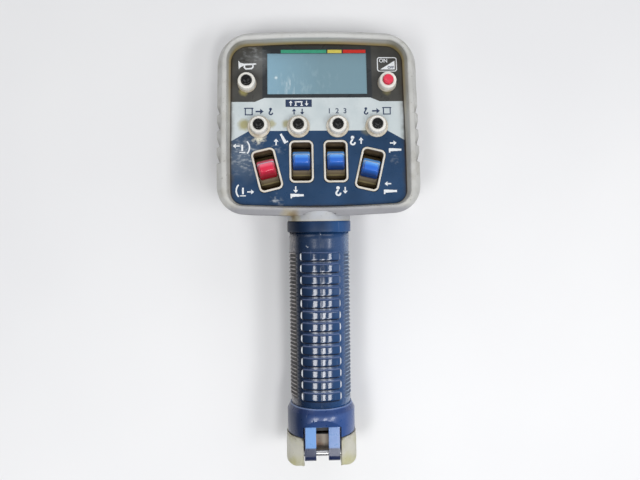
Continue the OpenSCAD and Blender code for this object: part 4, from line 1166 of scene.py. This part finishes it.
def grip_point(angle, y):
    """Point of the grip's skin, with a moulding seam along the middle."""
    seam = SEAM_DEEP * (1 - smooth(abs(angle - FRONT) * GRIP_R, 0.05, 0.3))
    r = GRIP_R + PAD_RISE * pad_height(angle, y) + rib_height(angle, y) - seam
    return Vector((r * math.cos(angle), y, HANDLE_Z + r * math.sin(angle)))


def grip_shape():
    """Outer skin of the grip as a grid of stations and angles, open at the trigger's slot."""
    angles = grip_angles()
    rings = [[grip_point(angle, y) for angle in angles] for y in grip_stations()]
    verts, faces = loft(rings, ends=False)

    def in_slot(face):
        middle = sum((verts[i] for i in face), Vector()) / 4
        within = abs(middle.x) < GRIP_R * math.sin(SLOT_HALF)
        return within and slot_low_y < middle.y < slot_top_y and middle.z < HANDLE_Z

    return verts, [face for face in faces if not in_slot(face)]


grip = piece("grip_skin", grip_shape(), GRIP, "housing", "handle_grip", 60)
wall = grip.modifiers.new("wall", "SOLIDIFY")
wall.thickness = GRIP_WALL * MM
wall.offset = -1

ring_r = (ring_high.x - ring_low.x) / 2
ring_corners = [
    (RING_BORE, ring_low.y), (ring_r, ring_low.y, RING_EDGE),
    (ring_r, ring_high.y, RING_EDGE), (RING_BORE, ring_high.y),
]
ring_shape = placed(lathe(rounded(ring_corners, 5), 128, looped=True), HANDLE)
piece("collar_ring", ring_shape, COLLAR_BLUE, "housing", "handle_collar", 50)

# Trigger spring

SPRING_TURNS = 5
SPRING_WIRE_R = 0.45
spring_low, spring_high = box_mm("trigger_spring")
spring_middle = (spring_low + spring_high) / 2


def spring_shape():
    """Coil between the trigger and the battery holder."""
    coil_r = spring_high.x - spring_middle.x - SPRING_WIRE_R
    steps = 24 * SPRING_TURNS
    wire = [Vector((coil_r + p.x, 0, p.y)) for p in circle(SPRING_WIRE_R, 8)]
    rings = []
    for i in range(steps + 1):
        turn = Matrix.Rotation(2 * math.pi * SPRING_TURNS * i / steps, 3, "Z")
        z = lerp(spring_low.z + SPRING_WIRE_R, spring_high.z - SPRING_WIRE_R, i / steps)
        centre = Vector((spring_middle.x, spring_middle.y, z))
        rings.append([centre + turn @ point for point in wire])
    return loft(rings)


coil = piece("spring_coil", spring_shape(), STEEL, "housing", "trigger_spring", 60)
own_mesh(coil)

# Feet of the battery cap

FOOT_START = 12.3
FOOT_STOP = math.radians(112)
FOOT_THICK = 3.0
FOOT_EDGE = 2.4
FOOT_FULL = 0.6
FULL_FROM, FULL_SPAN = 30, 75
FOOT_RISE = 1.2
FOOT_DROP = 1.8
DROP_FROM, DROP_TO = 32, 58
FOOT_LIFT = 0.6
LIFT_FROM, LIFT_TO = 70, 95
FOOT_LIP = 0.6
FOOT_GAP = 0.15
FOOT_STEP = 1.3
FOOT_STEPS = 24
foot_low, foot_high = box_mm("battery_cap")
foot_r = (foot_high.x - foot_low.x) / 2 + FOOT_GAP


def foot_section(share, side):
    """Closed section of a foot, at a share of its way round the cap."""
    inner_r = foot_r - FOOT_THICK
    turn = lerp(math.asin(FOOT_START / foot_r), FOOT_STOP, share)
    inner_turn = lerp(math.asin(FOOT_START / inner_r), FOOT_STOP, share)
    degrees = math.degrees(turn)
    full = math.sin(math.pi * min(max((degrees - FULL_FROM) / FULL_SPAN, 0), 1)) ** 2
    outer_r = foot_r + FOOT_FULL * full
    top = foot_high.y
    low = foot_low.y + FOOT_RISE - FOOT_DROP * smooth(degrees, DROP_FROM, DROP_TO)
    low += FOOT_LIFT * smooth(degrees, LIFT_FROM, LIFT_TO)
    section = [(foot_r - FOOT_LIP, top), (foot_r - 0.2, top - 0.15), (foot_r, top - FOOT_LIP)]
    for i in range(1, 5):
        section.append((lerp(foot_r, outer_r, smooth(i, 0, 4)), top - FOOT_LIP - FOOT_STEP * i))
    for i in range(7):
        bend = math.pi / 2 * i / 6
        r = outer_r - FOOT_EDGE * (1 - math.cos(bend))
        section.append((r, low + FOOT_EDGE * (1 - math.sin(bend))))

    def spot(r, y, at):
        return Vector((side * r * math.sin(at), y, HANDLE_Z + r * math.cos(at)))

    outside = [spot(r, y, turn) for r, y in section]
    return outside + [spot(inner_r, y, inner_turn) for y in (low, top)]


for side, name in ((-1, "left"), (1, "right")):
    foot = loft([foot_section(i / FOOT_STEPS, side) for i in range(FOOT_STEPS + 1)])
    piece("cap_foot_" + name, foot, END_CAP, "battery_cap", "battery_cap", 50, replaces=False)

# Prints on the panel

INK_RISE = 0.03
INK_T = 0.03
INK_LIFT = 0.04
UP, DOWN, LEFT, RIGHT = (0, 1), (0, -1), (-1, 0), (1, 0)


def stroke(points, width):
    """Outline of a line of a width along points."""
    points = [Vector(point) for point in points]
    left, right = [], []
    for i, point in enumerate(points):
        ahead = (points[i + 1] - point).normalized() if i < len(points) - 1 else None
        behind = (point - points[i - 1]).normalized() if i else None
        way = ahead or behind
        middle = (way + (behind or ahead)).normalized()
        normal = Vector((-middle.y, middle.x))
        aside = width / 2 / max(0.5, normal.dot(Vector((-way.y, way.x))))
        left.append(point + normal * aside)
        right.append(point - normal * aside)
    return left + right[::-1]


def rect(left, low, right, top):
    """Outline of a rectangle."""
    return [(left, low), (right, low), (right, top), (left, top)]


def arc_line(x, y, radius, start, end, steps=16):
    """Points along an arc, with angles in degrees."""
    turns = [math.radians(lerp(start, end, i / steps)) for i in range(steps + 1)]
    return [Vector((x + radius * math.cos(t), y + radius * math.sin(t))) for t in turns]


def print_piece(name, outlines, look, lifted=0.0):
    """Thin layer of ink of some outlines on the panel, lifted if it lies on another."""
    heights = (INK_RISE, INK_RISE + INK_T)
    flats = [loft([lift(map(Vector, outline), height) for height in heights]) for outline in outlines]
    shape = placed(placed(joined(*flats), PRINTS), Matrix.Translation(lifted * PANEL_UP))
    piece(name, shape, look, "housing", "face_plate", replaces=False)


def moved(outlines, x, y, scale=1.0):
    """Outlines at another place and size."""
    return [[Vector((x + scale * p[0], y + scale * p[1])) for p in map(Vector, o)] for o in outlines]


def turned(outlines, degrees):
    """Outlines turned about their origin."""
    spin = Matrix.Rotation(math.radians(degrees), 2)
    return [[spin @ Vector(p) for p in outline] for outline in outlines]


def hook(x, y, scale):
    """Crane hook with its block, about 6 high."""
    bend = stroke([(0.3, 0.9), (0.0, 0.0), *arc_line(0.35, -1.35, 1.1, 140, 372, 18)], 0.95)
    block = [p + Vector((0.2, 1.45)) for p in circle(0.95, 20)]
    return moved([bend, block], x, y, scale)


def arrow(way, x, y, scale=1.0):
    """Arrow with a shaft, about 4 long."""
    ahead = Vector(way).normalized()
    aside = Vector((-ahead.y, ahead.x))
    shaft = stroke([-2.0 * ahead, 0.5 * ahead], 0.8)
    head = [2.1 * ahead, 0.3 * ahead + 1.5 * aside, 0.3 * ahead - 1.5 * aside]
    return moved([shaft, head], x, y, scale)


def boom(reach, x, y, degrees=0):
    """Stepped telescopic boom on its pivot."""
    steps = [(0, 1.9), (0.36, 1.6), (0.68, 1.3), (1.0, 1.3)]
    parts = [
        rect(reach * start, -0.5 * high, reach * end, 0.5 * high)
        for (start, high), (end, _) in zip(steps, steps[1:])
    ]
    return moved(turned([*parts, rect(0, -1.8, 0.9, -0.9)], degrees), x, y)


def mast(x, top, foot):
    """Column of the crane on its base."""
    return [stroke([(x, top), (x, top - 4)], 1.1), stroke([(x - 1.8, foot), (x + 1.8, foot)], 0.6)]


def cabinet(x, y):
    """Open box that a hook is put away in."""
    walls = stroke([(-1.9, 1.9), (-1.9, -1.9), (1.9, -1.9), (1.9, 1.9)], 0.6)
    return moved([walls, stroke([(-2.6, 1.9), (2.6, 1.9)], 0.6)], x, y, 1.1)


def outriggers(x, y):
    """Beam on two legs with their feet."""
    parts = [stroke([(-2.4, 0.9), (2.4, 0.9)], 0.8)]
    parts += [stroke([(leg, 0.9), (leg, -1.3)], 0.7) for leg in (-1.8, 1.8)]
    parts += [stroke([(start, -1.5), (start + 1.6, -1.5)], 0.5) for start in (-2.6, 1.0)]
    return moved(parts, x, y)


bell = [(-48.8, 40.6), (-47.6, 39.3), (-45.4, 38.6), (-37.7, 38.8)]
bell += [(-37.7, 38.0), (-45.2, 37.4), (-47.4, 36.3), (-48.6, 34.9)]
tube = [(-44.9, 37.6), (-45.1, 36.2), (-44.2, 35.2), (-40.6, 35.4), (-39.7, 36.4), (-39.9, 38.2)]
print_piece("print_horn", [bell, stroke(tube, 0.9)], PRINT_WHITE)

ON_LOW, ON_HIGH = Vector((37.9, 33.4)), Vector((49.8, 42.3))
on_middle, on_size = (ON_LOW + ON_HIGH) / 2, ON_HIGH - ON_LOW
frame_line = rounded_rect(on_size.x, on_size.y, 1.3)
frame_points = [point + on_middle for point in [*frame_line, frame_line[0]]]
wedge = [ON_LOW + Vector(corner) for corner in ((1.6, 1.1), (10.8, 1.1), (10.8, 6.9))]
print_piece("print_power", [stroke(frame_points, 0.6), wedge], PRINT_WHITE)

lever_marks = [
    stroke(arc_line(-47.6, -15.2, 5.6, -42, 44), 0.85),
    *mast(-46.4, -13.4, -18.2),
    *arrow(LEFT, -50.0, -14.2),
    stroke(arc_line(-44.6, -42.0, 5.4, 138, 224), 0.85),
    *mast(-46.0, -40.2, -45.2),
    *arrow(RIGHT, -41.4, -42.8),
    *arrow(UP, -25.8, -11.9),
    *boom(6.6, -19.9, -12.6, 118),
    *arrow(DOWN, -14.2, -41.6),
    *boom(8.0, -17.4, -45.2),
    *hook(20.8, -11.0, 1.15),
    *arrow(UP, 26.3, -11.4),
    *hook(11.2, -42.6, 1.15),
    *arrow(DOWN, 15.8, -42.4),
    *arrow(RIGHT, 46.0, -13.0),
    *boom(7.7, 43.2, -17.3),
    *arrow(LEFT, 42.0, -38.6),
    *boom(8.0, 39.3, -43.2),
]
print_piece("print_levers", lever_marks, PRINT_WHITE)

row_marks = [
    *cabinet(-42.4, 7.6),
    *arrow(RIGHT, -35.8, 7.6, 1.2),
    *hook(-29.2, 7.8, 0.9),
    rect(-19.8, 10.4, -3.6, 15.2),
    *arrow(UP, -14.6, 7.4, 0.9),
    *arrow(DOWN, -9.6, 7.4, 0.9),
    *hook(29.6, 7.8, 0.9),
    *arrow(RIGHT, 36.0, 7.6, 1.2),
    *cabinet(42.8, 7.6),
]
print_piece("print_row", row_marks, PRINT_NAVY)
jack_marks = [*outriggers(-11.7, 12.8), *arrow(UP, -16.6, 12.8, 0.8), *arrow(DOWN, -6.8, 12.8, 0.8)]
print_piece("print_jack", jack_marks, PRINT_WHITE, INK_LIFT)


def letters(name, text, x, v, size, look, rise=INK_RISE + INK_T):
    """Letters on the panel, as a thin mesh."""
    font = bpy.data.curves.new(name, "FONT")
    font.body = text
    font.size = size * MM
    font.align_x = "CENTER"
    font.align_y = "CENTER"
    font.extrude = INK_T / 2 * MM
    font.offset = 0.06 * MM
    source = bpy.data.objects.new(name + "_source", font)
    bpy.context.scene.collection.objects.link(source)
    bpy.context.view_layer.update()
    shown = source.evaluated_get(bpy.context.evaluated_depsgraph_get())
    mesh = bpy.data.meshes.new_from_object(shown)
    bpy.data.objects.remove(source)
    spot = PRINTS @ Matrix.Translation((x, v, rise))
    mesh.transform(Matrix.Scale(MM, 4) @ spot @ Matrix.Scale(1 / MM, 4))
    add(name, mesh, look, "housing", "face_plate", replaces=False)


letters("print_on", "ON", 41.6, 40.2, 3.4, PRINT_WHITE)
letters("print_off", "OFF", 46.2, 35.8, 2.3, PRINT_NAVY, INK_RISE + 2 * INK_T)
letters("print_mode", "1  2  3", 12.0, 7.6, 4.6, PRINT_NAVY)

BAR_LOW, BAR_TOP = 45.4, 47.6
load_bar = [
    ("green", -22.4, 6.0, rgb(66, 160, 128)),
    ("yellow", 6.8, 15.6, rgb(218, 202, 96)),
    ("red", 16.4, 30.6, rgb(206, 52, 44)),
]
for name, left, right, colour in load_bar:
    outline = rect(left, BAR_LOW, right, BAR_TOP)
    print_piece("print_load_" + name, [outline], ink_look("ink_" + name, colour))

# Stage, light and camera, in metres

FLOOR_HALF = 3
FLOOR_Z = -0.0003
scene = bpy.context.scene
floor_corners = [(x * FLOOR_HALF, y * FLOOR_HALF, 0) for x, y in rect(-1, -1, 1, 1)]
floor_mesh = bpy.data.meshes.new("floor")
floor_mesh.from_pydata(floor_corners, [], [(0, 1, 2, 3)])
floor = bpy.data.objects.new("floor", floor_mesh)
floor.location.z = FLOOR_Z
scene.collection.objects.link(floor)
floor_look = Look("pale_floor")
floor_cloud = floor_look.noise(300, detail=3)
floor_look.paint(floor_look.mix(floor_cloud, rgb(226, 226, 228), rgb(234, 234, 235)))
floor_look.set(Roughness=0.7)
floor_mesh.materials.append(floor_look.material)

# Soft room that is brighter on one side
BRIGHT_SIDE = (0.45, 0.5, 0.7)
ROOM_DARK, ROOM_BRIGHT = 0.03, 0.34
ROOM_COLOUR = (0.96, 0.98, 1, 1)
world = bpy.data.worlds.new("soft_room")
scene.world = world
sky = Nodes(world)
sky_sockets = {0: sky.node("ShaderNodeTexCoord").outputs["Generated"], 1: BRIGHT_SIDE}
sky_side = sky.node("ShaderNodeVectorMath", sky_sockets, operation="DOT_PRODUCT").outputs["Value"]
room = sky.tree.nodes["Background"].inputs
sky.put(room["Strength"], sky.spread(sky_side, -0.7, 0.7, ROOM_DARK, ROOM_BRIGHT))
sky.put(room["Color"], ROOM_COLOUR)


def area_light(name, place, size, power, aim=None, turn=0):
    """Soft rectangular lamp, aimed at a point or straight down."""
    lamp = bpy.data.lights.new(name, "AREA")
    lamp.shape = "RECTANGLE"
    lamp.size, lamp.size_y = size
    lamp.energy = power
    made = bpy.data.objects.new(name, lamp)
    made.location = place
    made.rotation_euler = (0, 0, math.radians(turn))
    if aim:
        made.rotation_euler = (Vector(aim) - Vector(place)).to_track_quat("-Z", "Y").to_euler()
    scene.collection.objects.link(made)


LAMP_Z = 0.9
HEAD_SPOT = (0, 0, 0.03)
area_light("strip_left", (-0.35, -0.365, LAMP_Z), (0.22, 0.43), 3.4, turn=-24)
area_light("strip_middle", (0.16, -0.39, LAMP_Z), (0.13, 0.4), 2.4, turn=-22)
area_light("strip_right", (0.614, -0.33, LAMP_Z), (0.24, 0.5), 4.1, turn=-30)
area_light("window_top", (0.5, 1.15, 0.8), (1.2, 0.6), 4.0, HEAD_SPOT)
area_light("window_left", (-0.7, 0.9, 0.8), (0.8, 0.6), 2.0, HEAD_SPOT)
area_light("window_right", (1.3, -0.1, 0.4), (0.5, 1.2), 0.8, HEAD_SPOT)

# Camera fitted to the photo: turns in degrees about Z, X and Y
VIEW_TURNS = (("Z", 0.7), ("X", 2.0), ("Y", 2.0))
VIEW_D = 0.377
VIEW_SHIFT = Vector((-0.000716, 0.01131, 0))
VIEW_ORIGIN = Vector((0, -0.06145, 0.028))
SENSOR_W = 36
LENS = 33.75
view_turn = Matrix.Identity(3)
for axis, degrees in VIEW_TURNS:
    view_turn = view_turn @ Matrix.Rotation(math.radians(degrees), 3, axis)
view_turn = view_turn.transposed()
view_place = view_turn @ (Vector((0, 0, VIEW_D)) - VIEW_SHIFT) + VIEW_ORIGIN
camera_data = bpy.data.cameras.new("camera")
camera_data.sensor_width = SENSOR_W
camera_data.lens = LENS
camera_data.clip_start = 0.01
camera = bpy.data.objects.new("camera", camera_data)
camera.matrix_world = Matrix.Translation(view_place) @ view_turn.to_4x4()
scene.collection.objects.link(camera)
scene.camera = camera
scene.view_settings.view_transform = "Standard"
